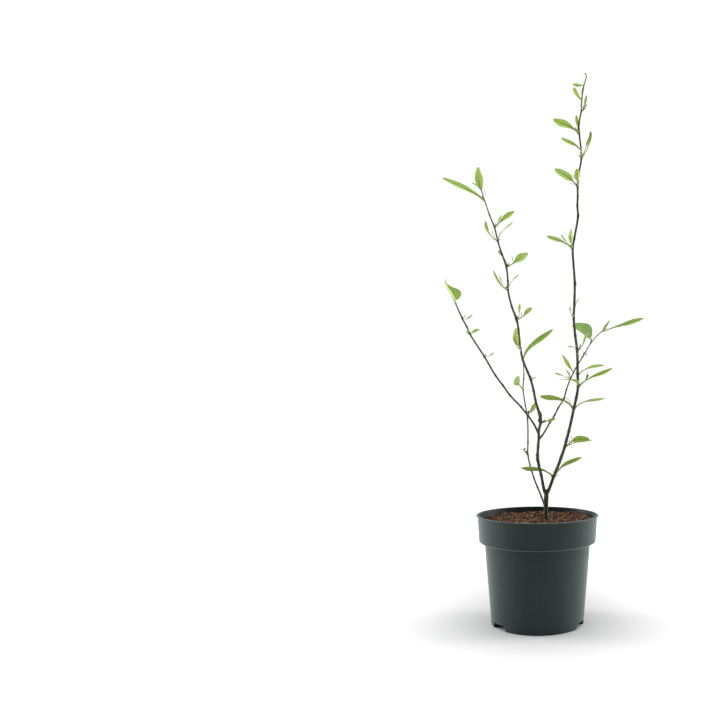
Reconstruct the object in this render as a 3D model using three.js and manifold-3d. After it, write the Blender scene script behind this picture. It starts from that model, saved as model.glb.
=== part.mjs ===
// A young saucer magnolia in a round grower's pot.
// Millimetres, +Z up, +X to the viewer's right, +Y away from the viewer.
// The origin is the middle of the pot's flat underside.
import * as THREE from 'three';
import { mergeVertices } from 'three/addons/utils/BufferGeometryUtils.js';
import Module from 'manifold-3d';

const wasm = await Module();
wasm.setup();

// Driving dimensions of the pot
const POT_HEIGHT = 150;
const POT_WALL = 1.5;
const POT_SIDES = 48;
const LIP_RADIUS = 85;
const LIP_HEIGHT = 1.6;
const LIP_BEVEL = 0.5;
const BAND_TOP_RADIUS = 83;
const BAND_FOOT_RADIUS = 81;
const BAND_FOOT_LEVEL = 115;
const BODY_TOP_RADIUS = 73.2;
const BODY_TOP_LEVEL = 112;
const BAND_ARC_STEPS = 3;
const FOOT_RADIUS = 64.1;
const FOOT_ROUNDING = 1.2;
const NOTCH_ANGLES = [-54, 68, 186];
const NOTCH_HEIGHT = 7.5;
const NOTCH_FOOT_WIDTH = 29;
const NOTCH_ROOF_WIDTH = 24;
const NOTCH_INNER_RADIUS = 32;
const DRAIN_RADIUS = 4.5;
const DRAIN_PLACE = 48;
const CUT_MARGIN = 5;

// Driving dimensions of the growing medium
const MEDIUM_LEVEL = 141;
const MEDIUM_TILT = 0.022;
const MEDIUM_LUMPS = 1.1;
const MEDIUM_RINGS = 7;
const SEAT_RADIUS = 9;

// Driving dimensions of the plant
const CLEARANCE = 0.3;
const LIMB_SIDES = 6;
const LIMB_STEP = 18;
const LIMB_TAPER = 0.85;
const SWELL_REACH = 7;
const COLLAR_THICKNESS = 0.7;
const COLLAR_HEIGHT = 3;
const SPUR_FOOT_RADIUS = 1.05;
const SPUR_TIP_RADIUS = 0.85;
const SPUR_SIDES = 6;
const SHOOT_TIP_RADIUS = 0.5;
const FOOT_DEPTH = 0.5;
const STALK_RADIUS = 0.65;
const BLADE_THICKNESS = 0.8;
const BLADE_TIP_THICKNESS = 0.25;
const LEAST_BLADE_SHARE = 0.05;
const BLADE_STEPS = 5;
const STALK_STEPS = 1;
const SCALE_LENGTH = 5;
const SCALE_WIDTH = 2.2;
const SCALE_STEPS = 2;
const SCALE_SPREAD = 1.6;
const SEED = 417;

const BACK = new THREE.Vector3(0, 1, 0);
const UP = new THREE.Vector3(0, 0, 1);

const materials = {
  pot: new THREE.MeshStandardMaterial({ color: 0x35403d, roughness: 0.55, metalness: 0 }),
  medium: new THREE.MeshStandardMaterial({ color: 0x6b4c34, roughness: 0.95, metalness: 0 }),
  bark: new THREE.MeshStandardMaterial({ color: 0x4a3b33, roughness: 0.85, metalness: 0 }),
  leaf: new THREE.MeshStandardMaterial({ color: 0x86b04a, roughness: 0.6, metalness: 0 }),
};

// A leaf by where its tip lies from its bud: to the right, to the back and up.
// turn rolls the blade about its midrib towards the front, in degrees. arch lifts its middle.
// stalk is the share of its length without blade, and widest is where along the blade it is widest.
// fold is how far its edges rise for each unit of half width, and at is its place on a shoot.
function leaf(right, back, up, width, shape = {}) {
  const usual = { turn: 35, arch: 1.5, stalk: 0.22, widest: 0.56, fold: 0.3, at: 0 };
  return { reach: new THREE.Vector3(right, back, up), width, ...usual, ...shape };
}

// A bud on a limb, with the leaves that have opened at it
function bud(right, back, up, ...leaves) {
  return { place: new THREE.Vector3(right, back, up), leaves };
}

// A bud whose leaves stand on a short spur, or at a limb's end on the new shoot of this spring. The spur or
// shoot is given by its bends, each from the bud.
function spurBud(right, back, up, bends, ...leaves) {
  const spur = bends.map((bend) => new THREE.Vector3(...bend));
  return { place: new THREE.Vector3(right, back, up), spur, leaves };
}

const limbs = [
  {
    name: 'trunk',
    parents: [],
    foot: 6.0,
    tip: 6.6,
    swell: 1.2,
    buds: [bud(12, 7, MEDIUM_LEVEL + CLEARANCE), bud(12.2, 7, 158), bud(12.4, 7, 172), bud(12.8, 7, 184)],
  },
  {
    name: 'left_leader',
    parents: ['trunk'],
    foot: 3.5,
    tip: 1.2,
    swell: 1.3,
    buds: [
      bud(12.2, 7, 177),
      bud(9.8, 6.6, 183),
      bud(5.5, 4, 205),
      bud(1, 1.5, 232),
      bud(1.5, -1, 258),
      spurBud(5, -2.5, 277, [[5, -1.5, 2]], leaf(20, -9, 7, 6, { arch: 0 }), leaf(7, -6, 8, 3, { arch: 0 })),
      bud(2.2, -4, 292),
      bud(-2.5, -6, 308),
      bud(-8, -10, 337, leaf(8, -7, 6, 3, { arch: 0 })),
      bud(-24, -16, 380, leaf(-5, -14, 27, 10, { turn: 0, arch: 0 })),
      bud(-28, -21, 419, leaf(3, 12, 24, 6, { turn: 0 }), leaf(21, -9, 15, 8, { turn: 45 })),
      bud(
        -39.5,
        -26,
        458,
        leaf(-20, -14, 25, 8, { turn: -10, arch: -2 }),
        leaf(-12, 9, 22, 4),
        leaf(15, 14, 25, 4),
      ),
      bud(-42, -31, 488, leaf(30, -8, 18, 14, { turn: 60, arch: 0.5 }), leaf(-9, 16, 27, 10, { turn: 20 })),
      bud(
        -52.5,
        -36,
        522,
        leaf(20, 12, 30, 5, { arch: -1 }),
        leaf(-16, -13, 25, 8, { turn: -15 }),
        leaf(-9, 8, 18, 4),
      ),
      bud(-57, -38.5, 540, leaf(27, -12, 20, 11, { turn: 55 }), leaf(10, 7, 19, 4)),
      bud(-64, -41, 556),
      spurBud(
        -69,
        -43.5,
        570.5,
        [[-4, -2, 12], [-5.5, -3, 17]],
        leaf(-57, -12, 32, 12, { turn: 50, arch: 2 }),
        leaf(-9, -12, 47, 12, { at: 1, turn: 20, arch: 0 }),
        leaf(-20, 6, 30, 4, { at: 1, arch: 0 }),
      ),
    ],
  },
  {
    name: 'right_leader',
    parents: ['trunk', 'left_leader'],
    foot: 3.9,
    tip: 1.4,
    swell: 1.2,
    buds: [
      bud(13, 7, 176),
      bud(16.5, 6.5, 184),
      bud(21.5, 6, 202, leaf(-47, 12, 12, 7, { arch: 3 }), leaf(41, -8, 28, 8, { turn: 40, arch: 3 })),
      bud(33.5, 4.5, 228),
      spurBud(39.5, 3.5, 244, [[5.5, -1, 3.5]], leaf(32, -12, 13, 13, { turn: 45 }), leaf(37, 8, 9, 7)),
      bud(44.5, 2, 266.5),
      bud(
        51,
        0,
        298,
        leaf(-47, -6, 16, 11, { turn: 45, arch: 4, stalk: 0.3 }),
        leaf(44, 14, 14, 9, { arch: 4 }),
      ),
      bud(
        56,
        -2,
        328,
        leaf(48, -10, 26, 12, { turn: 42 }),
        leaf(12, -5, 22, 3.5, { arch: 0 }),
        leaf(-27, -12, 10, 7, { turn: 25, arch: 5 }),
      ),
      bud(56.5, -3, 345, leaf(38, 20, 15, 7.5, { turn: 25, arch: 4 })),
      bud(55, -4.5, 377, leaf(12, -12, 26, 6, { arch: 0 }), leaf(-14, -9, 5.5, 4, { arch: 1 })),
      bud(50, -8, 423, leaf(-4, -9, 18, 3.5, { arch: 0 }), leaf(8, 10, 29, 4, { arch: 0 })),
      bud(51.5, -12, 470),
      bud(
        48,
        -16,
        517,
        leaf(-35.5, -9, 15.5, 10, { turn: 55, stalk: 0.28 }),
        leaf(-16, 12, 22, 4.5),
        leaf(-1.5, -14, 24, 7, { turn: 0, arch: 0 }),
      ),
      bud(55, -19, 559.5),
      bud(
        55,
        -21,
        600,
        leaf(-32, -9, 22, 14.5, { turn: 62, arch: 1 }),
        leaf(-1, -13, 21, 7, { turn: 0, arch: 0 }),
      ),
      bud(
        59.5,
        -22,
        639,
        leaf(-28, -13, 24, 9, { turn: -30, arch: 5 }),
        leaf(14, 12, 42, 6, { arch: -1 }),
        leaf(10, 18, 34, 4, { arch: -1 }),
      ),
      bud(
        57.5,
        -22,
        672,
        leaf(-37, -11, 16, 15, { turn: 62, stalk: 0.28 }),
        leaf(-3.5, 15, 32, 7, { turn: 0 }),
      ),
      spurBud(59, -21, 702, [[5.5, -1, 5.5]], leaf(8, -8, 20, 5, { arch: -1 })),
      spurBud(
        59.5,
        -20,
        717,
        [[1.5, 0, 15], [6, -1, 31], [4.5, -2, 37]],
        leaf(-9, -9, 17, 9, { turn: -30, arch: 3 }),
        leaf(-10.5, -7, 20.5, 5, { at: 0.55, arch: 2.5 }),
        leaf(3, -6, 40.5, 3.5, { at: 0.9, arch: 0 }),
      ),
    ],
  },
  {
    name: 'left_branch',
    parents: ['left_leader'],
    foot: 2.4,
    tip: 1.3,
    swell: 0.7,
    buds: [
      bud(2.5, -1, 260),
      bud(-5, 1, 276),
      spurBud(-12.5, 4, 287, [[1, -3, 5]], leaf(9.5, -15, 18.5, 8, { turn: -25, arch: 0 })),
      bud(-39, 10, 316),
      bud(-59.5, 16, 345),
      bud(-75, 21.5, 371, leaf(14, -8, 6, 4)),
      bud(-96, 28, 404, leaf(13.5, 10, 7, 7), leaf(-4, -6, 7, 3)),
      bud(-108, 32, 426.5, leaf(16, -11, 5.5, 4)),
      spurBud(
        -118,
        35,
        449,
        [[-0.5, 0, 3]],
        leaf(-15, -8, 35.5, 19, { turn: 60, stalk: 0.06, arch: -2, widest: 0.3, fold: 0.6 }),
      ),
    ],
  },
  {
    name: 'right_branch',
    parents: ['left_leader'],
    foot: 2.1,
    tip: 1.3,
    swell: 0.8,
    buds: [
      bud(1.5, -0.5, 253),
      bud(8.5, 2.5, 264),
      bud(17, 6.5, 278),
      bud(29, 11.5, 298.5),
      bud(36.5, 14, 311),
      bud(
        47.5,
        19.5,
        340,
        leaf(-7.5, 6, 13, 3, { arch: 0 }),
        leaf(-24, 8, 8, 6, { turn: 20 }),
        leaf(-12.5, 11, 35, 9, { turn: 30, arch: 4, stalk: 0.3 }),
      ),
      bud(56.5, 24, 356.5),
      spurBud(65.5, 30.5, 371.5, [[3, 1, 4]], leaf(6, 7, 10, 3, { arch: 0 })),
      spurBud(
        76.5,
        39.5,
        392,
        [[1, 0.5, 6]],
        leaf(-26, 8, 25.5, 21, { turn: 65, arch: 4, stalk: 0.06, widest: 0.38 }),
      ),
      spurBud(
        87.5,
        46.5,
        404.5,
        [[4.5, 2, 3.5], [10.5, 4, 7]],
        leaf(70, 12, 26.5, 9.5, { at: 1, arch: 0.5, turn: 30 }),
        leaf(17, -12, 22, 5, { at: 0.5, arch: 0 }),
      ),
    ],
  },
  {
    name: 'basal_shoot',
    parents: ['trunk'],
    foot: 2.1,
    tip: 1.3,
    swell: 0.6,
    buds: [
      bud(11.6, 8, 157),
      bud(8, 10, 163),
      bud(4.5, 13, 173.5),
      bud(-5, 18.5, 199),
      spurBud(-13.5, 24, 231, [[-3, -2, 4]], leaf(-10.5, -7, 11.5, 4, { arch: 2 })),
      bud(-13.5, 25.5, 249),
      bud(-14, 29, 282),
      bud(-20, 33, 325, leaf(-10.5, -17, 18.5, 11, { turn: -40 })),
      bud(-20.5, 35, 347),
      spurBud(-23, 37.5, 368, [[0.5, 0, 3]], leaf(46, 4, 44.5, 10, { turn: 40, arch: 6, stalk: 0.12 })),
    ],
  },
];

// A number from 0 to 1 that looks random and is the same every time for the same seed
function seededNumbers(seed) {
  let state = seed;
  return () => {
    state = (state * 1664525 + 1013904223) % 4294967296;
    return state / 4294967296;
  };
}

const random = seededNumbers(SEED);

// A closed geometry as a solid: equal corners are merged and triangles without area are dropped
function solidFrom(geometry) {
  const bare = geometry.clone();
  bare.deleteAttribute('normal');
  bare.deleteAttribute('uv');
  const merged = mergeVertices(bare, 1e-4);
  const corners = [];
  const index = merged.index.array;
  for (let i = 0; i < index.length; i += 3) {
    const [a, b, c] = index.slice(i, i + 3);
    if (a !== b && b !== c && c !== a) {
      corners.push(a, b, c);
    }
  }
  const vertProperties = new Float32Array(merged.attributes.position.array);
  const triVerts = new Uint32Array(corners);
  return new wasm.Manifold(new wasm.Mesh({ numProp: 3, vertProperties, triVerts }));
}

// The largest body of a solid, without loose scraps
function largestBody(solid) {
  const bodies = solid.decompose();
  bodies.sort((a, b) => b.volume() - a.volume());
  return bodies[0];
}

function meshFrom(name, solid, material) {
  const { numProp, vertProperties, triVerts } = solid.getMesh();
  const corners = new Float32Array((vertProperties.length / numProp) * 3);
  for (let i = 0; i < corners.length / 3; i += 1) {
    corners.set(vertProperties.subarray(i * numProp, i * numProp + 3), i * 3);
  }
  const geometry = new THREE.BufferGeometry();
  geometry.setAttribute('position', new THREE.BufferAttribute(corners, 3));
  geometry.setIndex(new THREE.BufferAttribute(new Uint32Array(triVerts), 1));
  geometry.computeVertexNormals();
  const mesh = new THREE.Mesh(geometry, material);
  mesh.name = name;
  return mesh;
}

// A solid of revolution about the pot's axis, from a profile of [radius, level] points
function turned(profile) {
  const points = profile.map(([radius, level]) => new THREE.Vector2(radius, level));
  const geometry = new THREE.LatheGeometry(points, POT_SIDES);
  geometry.rotateX(Math.PI / 2);
  return solidFrom(geometry);
}

// The outline of the pot's side from the top of its body to under its lip, moved inwards by inset. The
// band's lower corner is a quarter of an ellipse.
function potSide(inset) {
  const side = [];
  for (let step = 0; step <= BAND_ARC_STEPS; step += 1) {
    const angle = (Math.PI / 2) * (step / BAND_ARC_STEPS);
    const radius = THREE.MathUtils.lerp(BODY_TOP_RADIUS, BAND_FOOT_RADIUS, Math.sin(angle));
    const level = THREE.MathUtils.lerp(BODY_TOP_LEVEL, BAND_FOOT_LEVEL, 1 - Math.cos(angle));
    side.push([radius - inset, level + inset]);
  }
  side.push([BAND_TOP_RADIUS - inset, POT_HEIGHT - LIP_HEIGHT]);
  return side;
}

// One drain notch at the foot, grown on all sides by extra, with its middle at an angle from the front
function notch(angle, extra) {
  const foot = NOTCH_FOOT_WIDTH / 2 + extra;
  const roof = NOTCH_ROOF_WIDTH / 2 + extra;
  const outline = new THREE.Shape();
  outline.moveTo(-foot, -CUT_MARGIN);
  outline.lineTo(foot, -CUT_MARGIN);
  outline.lineTo(foot, 0);
  outline.lineTo(roof, NOTCH_HEIGHT + extra);
  outline.lineTo(-roof, NOTCH_HEIGHT + extra);
  outline.lineTo(-foot, 0);
  outline.closePath();
  const depth = BODY_TOP_RADIUS - NOTCH_INNER_RADIUS + extra;
  const geometry = new THREE.ExtrudeGeometry(outline, { depth, bevelEnabled: false });
  geometry.rotateX(Math.PI / 2);
  geometry.translate(0, -(NOTCH_INNER_RADIUS - extra), 0);
  geometry.rotateZ(THREE.MathUtils.degToRad(angle));
  return solidFrom(geometry);
}

function drainHole(angle) {
  const geometry = new THREE.CylinderGeometry(DRAIN_RADIUS, DRAIN_RADIUS, 2 * CUT_MARGIN, POT_SIDES / 4);
  geometry.rotateX(Math.PI / 2);
  geometry.translate(0, -DRAIN_PLACE, NOTCH_HEIGHT + POT_WALL / 2);
  geometry.rotateZ(THREE.MathUtils.degToRad(angle));
  return solidFrom(geometry);
}

// The space inside the pot with its walls moved in by inset, up to a level above the rim
function potHollow(inset) {
  const wall = POT_WALL + inset;
  const top = POT_HEIGHT + CUT_MARGIN;
  return turned([
    [0, wall],
    [FOOT_RADIUS - wall, wall],
    ...potSide(wall),
    [BAND_TOP_RADIUS - wall, top],
    [0, top],
  ]);
}

function buildPot() {
  const foot = [
    [0, 0],
    [FOOT_RADIUS - FOOT_ROUNDING, 0],
    [FOOT_RADIUS, FOOT_ROUNDING],
  ];
  const lip = [
    [LIP_RADIUS, POT_HEIGHT - LIP_HEIGHT],
    [LIP_RADIUS, POT_HEIGHT - LIP_BEVEL],
    [LIP_RADIUS - LIP_BEVEL, POT_HEIGHT],
    [0, POT_HEIGHT],
  ];
  let outside = turned([...foot, ...potSide(0), ...lip]);
  let hollow = potHollow(0);
  for (const angle of NOTCH_ANGLES) {
    outside = outside.subtract(notch(angle, 0));
    hollow = hollow.subtract(notch(angle, POT_WALL));
  }
  let pot = outside.subtract(hollow);
  for (const angle of NOTCH_ANGLES) {
    pot = pot.subtract(drainHole(angle));
  }
  return pot;
}

// The level of the growing medium's top: lumpy, a little higher to the right and the back, and flat
// round the trunk
function mediumLevel(x, y) {
  const broad = Math.sin(x * 0.13 + 1.3) * Math.cos(y * 0.11 - 0.4);
  const fine = Math.sin(x * 0.31 - y * 0.27);
  const level = MEDIUM_LEVEL + MEDIUM_TILT * (x + y) + MEDIUM_LUMPS * (broad + 0.6 * fine);
  const [seat] = limbs[0].buds;
  const away = Math.hypot(x - seat.place.x, y - seat.place.y);
  const share = THREE.MathUtils.smoothstep(away, SEAT_RADIUS, 3 * SEAT_RADIUS);
  return THREE.MathUtils.lerp(MEDIUM_LEVEL, level, share);
}

// A lid of rings that follows the top of the medium and reaches up past the rim
function spaceOverMedium() {
  const reach = LIP_RADIUS + CUT_MARGIN;
  const top = POT_HEIGHT + 2 * CUT_MARGIN;
  const profile = [];
  for (let ring = 0; ring <= MEDIUM_RINGS; ring += 1) {
    profile.push(new THREE.Vector2((reach * ring) / MEDIUM_RINGS, MEDIUM_LEVEL));
  }
  profile.push(new THREE.Vector2(reach, top), new THREE.Vector2(0, top));
  const geometry = new THREE.LatheGeometry(profile, POT_SIDES / 2);
  geometry.rotateX(Math.PI / 2);
  const position = geometry.attributes.position;
  for (let i = 0; i < position.count; i += 1) {
    if (position.getZ(i) < top - CUT_MARGIN) {
      position.setZ(i, mediumLevel(position.getX(i), position.getY(i)));
    }
  }
  return solidFrom(geometry);
}

function buildMedium() {
  let medium = potHollow(CLEARANCE).subtract(spaceOverMedium());
  for (const angle of NOTCH_ANGLES) {
    medium = medium.subtract(notch(angle, POT_WALL + CLEARANCE));
  }
  return largestBody(medium);
}

// Bends a closed cylinder of unit size: place gives the point for a place along it, from 0 to 1, and for a
// place on the unit circle
function bent(sides, steps, place) {
  const geometry = new THREE.CylinderGeometry(1, 1, 1, sides, steps);
  const position = geometry.attributes.position;
  for (let i = 0; i < position.count; i += 1) {
    const point = place(position.getY(i) + 0.5, position.getX(i), position.getZ(i));
    position.setXYZ(i, point.x, point.y, point.z);
  }
  return solidFrom(geometry);
}

// The middle, direction and two cross directions of a curve at a place from 0 to 1. upper is the cross
// direction nearest to the one asked for.
function frameOn(curve, along, wanted) {
  const middle = curve.getPoint(along);
  const forward = curve.getTangent(along);
  const across = new THREE.Vector3().crossVectors(forward, wanted).normalize();
  const upper = new THREE.Vector3().crossVectors(across, forward);
  return { middle, forward, across, upper };
}

// Gives a limb its curve through its buds and its thickness along it
function prepare(limb) {
  const places = limb.buds.map(({ place }) => place);
  const curve = new THREE.CatmullRomCurve3(places, false, 'centripetal');
  const shares = [0];
  for (let i = 1; i < places.length; i += 1) {
    shares.push(shares[i - 1] + places[i].distanceTo(places[i - 1]));
  }
  const length = shares[places.length - 1];
  const shareAt = (along) => {
    const spot = along * (places.length - 1);
    const before = Math.min(Math.floor(spot), places.length - 2);
    return THREE.MathUtils.lerp(shares[before], shares[before + 1], spot - before) / length;
  };
  const radiusAt = (along) => {
    const share = shareAt(along);
    const even = limb.tip + (limb.foot - limb.tip) * (1 - share) ** LIMB_TAPER;
    return (even + limb.swell * Math.exp((-share * length) / SWELL_REACH)) / 2;
  };
  return { ...limb, curve, length, radiusAt };
}

// A limb as a solid, made thicker and longer at both ends by extra
function limbSolid(limb, extra) {
  const gaps = limb.buds.length - 1;
  const steps = gaps * Math.ceil(limb.length / gaps / LIMB_STEP);
  return bent(LIMB_SIDES, steps, (along, x, z) => {
    const { middle, forward, across, upper } = frameOn(limb.curve, along, BACK);
    const radius = limb.radiusAt(along) + extra;
    const isEnd = along === 0 || along === 1;
    const overrun = isEnd ? Math.sign(along - 0.5) * extra : 0;
    return middle
      .addScaledVector(forward, overrun)
      .addScaledVector(across, x * radius)
      .addScaledVector(upper, z * radius);
  });
}

// A ring round a limb at a bud, which the stalks of its leaves are fused to
function collar(limb, along) {
  const { middle, forward, across, upper } = frameOn(limb.curve, along, BACK);
  const radius = limb.radiusAt(along) + CLEARANCE + COLLAR_THICKNESS;
  return bent(LIMB_SIDES, 1, (share, x, z) => {
    return middle
      .clone()
      .addScaledVector(forward, (share - 0.5) * COLLAR_HEIGHT)
      .addScaledVector(across, x * radius)
      .addScaledVector(upper, z * radius);
  });
}

// The half width of a blade at a share of its length, where the widest half width is 1
function bladeOutline(share, widest) {
  const evened = share ** (Math.log(0.5) / Math.log(widest));
  return Math.max(LEAST_BLADE_SHARE, Math.sin(Math.PI * evened) ** 0.85);
}

// A leaf with its stalk, from its foot to its tip, as one thin solid folded along the midrib
function leafSolid(foot, tip, { width, turn, arch, stalk, widest, fold }, bladeSteps = BLADE_STEPS) {
  const bend = foot.clone().lerp(tip, 0.4).addScaledVector(UP, 2 * arch);
  const spine = new THREE.QuadraticBezierCurve3(foot, bend, tip);
  const roll = THREE.MathUtils.degToRad(tip.x < foot.x ? -turn : turn);
  const steps = STALK_STEPS + bladeSteps;
  const thickness = Math.max(BLADE_THICKNESS, foot.distanceTo(tip) / 80);
  return bent(4, steps, (along, x, z) => {
    const step = Math.round(along * steps);
    const onBlade = Math.max(0, (step - STALK_STEPS) / bladeSteps);
    const onSpine = step < STALK_STEPS ? (stalk * step) / STALK_STEPS : stalk + (1 - stalk) * onBlade;
    const { middle, forward, across, upper } = frameOn(spine, onSpine, UP);
    across.applyAxisAngle(forward, roll);
    upper.applyAxisAngle(forward, roll);
    const isStalk = step <= STALK_STEPS;
    const halfWidth = isStalk ? STALK_RADIUS : (width / 2) * bladeOutline(onBlade, widest);
    const thinning = THREE.MathUtils.smoothstep(onBlade, 0.5, 1);
    const halfBlade = THREE.MathUtils.lerp(thickness, BLADE_TIP_THICKNESS, thinning) / 2;
    const halfDepth = isStalk ? STALK_RADIUS : halfBlade;
    const lift = isStalk ? 0 : fold * Math.abs(x) * halfWidth;
    return middle.addScaledVector(across, x * halfWidth).addScaledVector(upper, z * halfDepth + lift);
  });
}

// The spur or new shoot of a bud, from the limb's middle or end through its bends
function spurCurve(start, bends) {
  const places = [start, ...bends.map((bend) => start.clone().add(bend))];
  return new THREE.CatmullRomCurve3(places);
}

function spurSolid(curve, foot, tip) {
  const steps = 2 * (curve.points.length - 1);
  return bent(SPUR_SIDES, steps, (along, x, z) => {
    const { middle, across, upper } = frameOn(curve, along, BACK);
    const radius = THREE.MathUtils.lerp(foot, tip, along);
    return middle.addScaledVector(across, x * radius).addScaledVector(upper, z * radius);
  });
}

// A small scale of the opened bud beside a leaf's foot, at a seeded heading
function scaleSolid(foot, reach) {
  const heading = reach.clone().setLength(SCALE_LENGTH * (0.8 + 0.4 * random()));
  heading.applyAxisAngle(UP, (random() - 0.5) * SCALE_SPREAD);
  heading.z = SCALE_LENGTH * (0.3 + 0.6 * random());
  const tip = foot.clone().add(heading);
  const shape = { width: SCALE_WIDTH, turn: 20, arch: 0.3, stalk: 0.1, widest: 0.4, fold: 0.3 };
  return leafSolid(foot, tip, shape, SCALE_STEPS);
}

// All leaves at one bud, fused to its collar, spur or shoot and clear of the limb that bears them
function leafMass(limb, place, isTip) {
  const { spur, leaves, place: start } = limb.buds[place];
  const along = place / (limb.buds.length - 1);
  const parts = [];
  if (!isTip) {
    parts.push(collar(limb, along));
  }
  const curve = spur ? spurCurve(start, spur) : null;
  if (curve && isTip) {
    parts.push(spurSolid(curve, limb.radiusAt(along), SHOOT_TIP_RADIUS));
  } else if (curve) {
    parts.push(spurSolid(curve, SPUR_FOOT_RADIUS, SPUR_TIP_RADIUS));
  }
  const footOf = ({ reach, at }) => {
    if (curve) {
      return curve.getPoint(isTip ? Math.max(at, 0.1) : 0.9);
    }
    const outward = reach.clone().setZ(0).normalize();
    return start.clone().addScaledVector(outward, limb.radiusAt(along) + FOOT_DEPTH);
  };
  for (const one of leaves) {
    parts.push(leafSolid(footOf(one), start.clone().add(one.reach), one));
  }
  const [first] = leaves;
  parts.push(scaleSolid(footOf(first), first.reach));
  const fused = wasm.Manifold.union(parts);
  return largestBody(fused.subtract(limbSolid(limb, CLEARANCE)));
}

const model = new THREE.Group();
model.name = 'potted_saucer_magnolia';
model.add(meshFrom('pot', buildPot(), materials.pot));
model.add(meshFrom('growing_medium', buildMedium(), materials.medium));

const grown = new Map(limbs.map((limb) => [limb.name, prepare(limb)]));
for (const limb of grown.values()) {
  let solid = limbSolid(limb, 0);
  for (const parent of limb.parents) {
    solid = solid.subtract(limbSolid(grown.get(parent), CLEARANCE));
  }
  model.add(meshFrom(limb.name, largestBody(solid), materials.bark));
  let count = 0;
  limb.buds.forEach(({ leaves }, place) => {
    if (leaves.length > 0) {
      count += 1;
      const mass = leafMass(limb, place, place === limb.buds.length - 1);
      model.add(meshFrom(`${limb.name}_leaves_${count}`, mass, materials.leaf));
    }
  });
}

export default model;
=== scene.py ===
import math
import random
from types import SimpleNamespace

import bpy
import numpy as np
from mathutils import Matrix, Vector, noise


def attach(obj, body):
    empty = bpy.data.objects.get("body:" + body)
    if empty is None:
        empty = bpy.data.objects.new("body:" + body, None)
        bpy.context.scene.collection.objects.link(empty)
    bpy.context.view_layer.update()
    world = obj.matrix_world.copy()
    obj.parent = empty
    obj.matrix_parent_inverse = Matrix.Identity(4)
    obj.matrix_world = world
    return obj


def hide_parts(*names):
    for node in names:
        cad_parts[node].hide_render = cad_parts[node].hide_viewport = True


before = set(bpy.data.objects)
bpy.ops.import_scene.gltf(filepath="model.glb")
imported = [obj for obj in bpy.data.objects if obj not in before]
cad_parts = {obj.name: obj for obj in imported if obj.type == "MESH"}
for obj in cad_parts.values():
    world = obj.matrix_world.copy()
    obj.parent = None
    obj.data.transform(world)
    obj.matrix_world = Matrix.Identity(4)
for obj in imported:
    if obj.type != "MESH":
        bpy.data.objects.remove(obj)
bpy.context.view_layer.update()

MM = 0.001
BACK = np.array([0.0, 1.0, 0.0])
UP = np.array([0.0, 0.0, 1.0])

# The camera stands level in front of the pot. The photograph is cropped so that the pot's axis and the
# horizon lie off its middle. The places of the camera and the lights are in metres.
PHOTO_SIZE = 720
AXIS_COLUMN = 537.4
HORIZON_ROW = 410.4
CAMERA_PLACE = (0, -1.020, 0.2948)
CAMERA_LENS = 36.6

# The floor, and how much light it gives back within the first of two distances from the pot, in metres, and
# beyond the second. Its darker colour close round the pot is a painted shadow, which stands in for the soft
# shadow round the pot and evens out the side lights' extra light there.
FLOOR_REACH = 9000
FLOOR_PAINTED_SHADOW_TONES = (0.64, 0.98)
FLOOR_PAINTED_SHADOW_RANGE = (0.1, 0.42)

# The light of the room in its dark part in front and in its bright part, as shares of white, where the one
# ends and the other starts, and the room as it is seen
ROOM_LIGHT = (0.02, 0.6)
ROOM_RANGE = (-0.8, 0)
ROOM_SEEN = 1.05
SIDE_PLACE = (1.3, 0.3, 0.3)
SIDE_SIZE = (0.6, 0.7)
SIDE_POWER = 16
TOP_STRENGTH = 1.9
TOP_SPREAD = 80
LIGHT_TARGET = (0, 0, 0.3)

# The pot
POT_HEIGHT = 150
POT_WALL = 1.5
POT_SIDES = 192
LIP_RADIUS = 85
LIP_HEIGHT = 1.6
LIP_ROUNDING = 0.7
LIP_STEP = (0.3, 0.5)
MOUTH_ROUNDING = 1.0
MOUTH_RISE = 0.02
BAND_TOP_RADIUS = 83
BAND_FOOT_RADIUS = 81
BAND_FOOT_LEVEL = 115
BODY_TOP_RADIUS = 73.2
BODY_TOP_LEVEL = 112
BODY_RINGS = (1.5, 4, 10)
FOOT_RADIUS = 64.1
FOOT_ROUNDING = 1.2
NOTCH_ANGLES = (-54, 68, 186)
NOTCH_HEIGHT = 7.5
NOTCH_FOOT_WIDTH = 29
NOTCH_ROOF_WIDTH = 24
NOTCH_ROUNDING = 2.0
NOTCH_INNER_RADIUS = 32
DRAIN_RADIUS = 4.5
DRAIN_PLACE = 48
DRAIN_SIDES = 48
CUT_MARGIN = 5
WELD_REACH = 0.02
EDGE_ROUNDING = 0.3
EDGE_ANGLE = 42
# How far the pot's colour is painted paler at its foot, as painted light bounced up from the floor
POT_PAINTED_BOUNCE_LIGHT = 0.35

# The growing medium
MEDIUM_LEVEL = 141
MEDIUM_TILT = 0.022
MEDIUM_LUMPS = 1.1
SEAT_RADIUS = 9
CLEARANCE = 0.3
BED_RINGS = 64
# Lumps and crumbs of the bed: their features per millimetre, and their rise
BED_LUMPS = (0.35, 0.7)
BED_CRUMBS = (1.1, 0.45)
BED_DROP = 0.3
CHIP_COUNT = 4200
CHIP_LENGTHS = (1.6, 7.5)
CHIP_WIDTHS = (0.6, 2.1)
CHIP_HEIGHTS = (0.35, 0.9)
CHIP_PITCH = 0.35
CHIP_ROLL = 0.6
CHIP_RISES = (-0.4, 0.9)
CHIP_SHARES = (26, 28, 22, 18, 6)
FIBRE_COUNT = 420
FIBRE_STEPS = 5
FIBRE_LENGTHS = (4, 17)
FIBRE_RADII = (0.1, 0.2)
FIBRE_RISES = (0.2, 1.7)
FIBRE_BEND = 0.4
FIBRE_SHARES = (8, 20, 28, 32, 12)

# The plant
STEM_SIDES = 20
STEM_STEP = 0.9
LIMB_TAPER = 0.85
SWELL_REACH = 7
NODE_SWELL = 0.32
NODE_REACH = 2.0
RING_SHARE = 0.35
RING_DROP = 1.1
RING_REACH = 0.35
STUB_WIDTHS = (1.5, 1.1, 0.95, 0.9, 0.95, 0.7)
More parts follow.
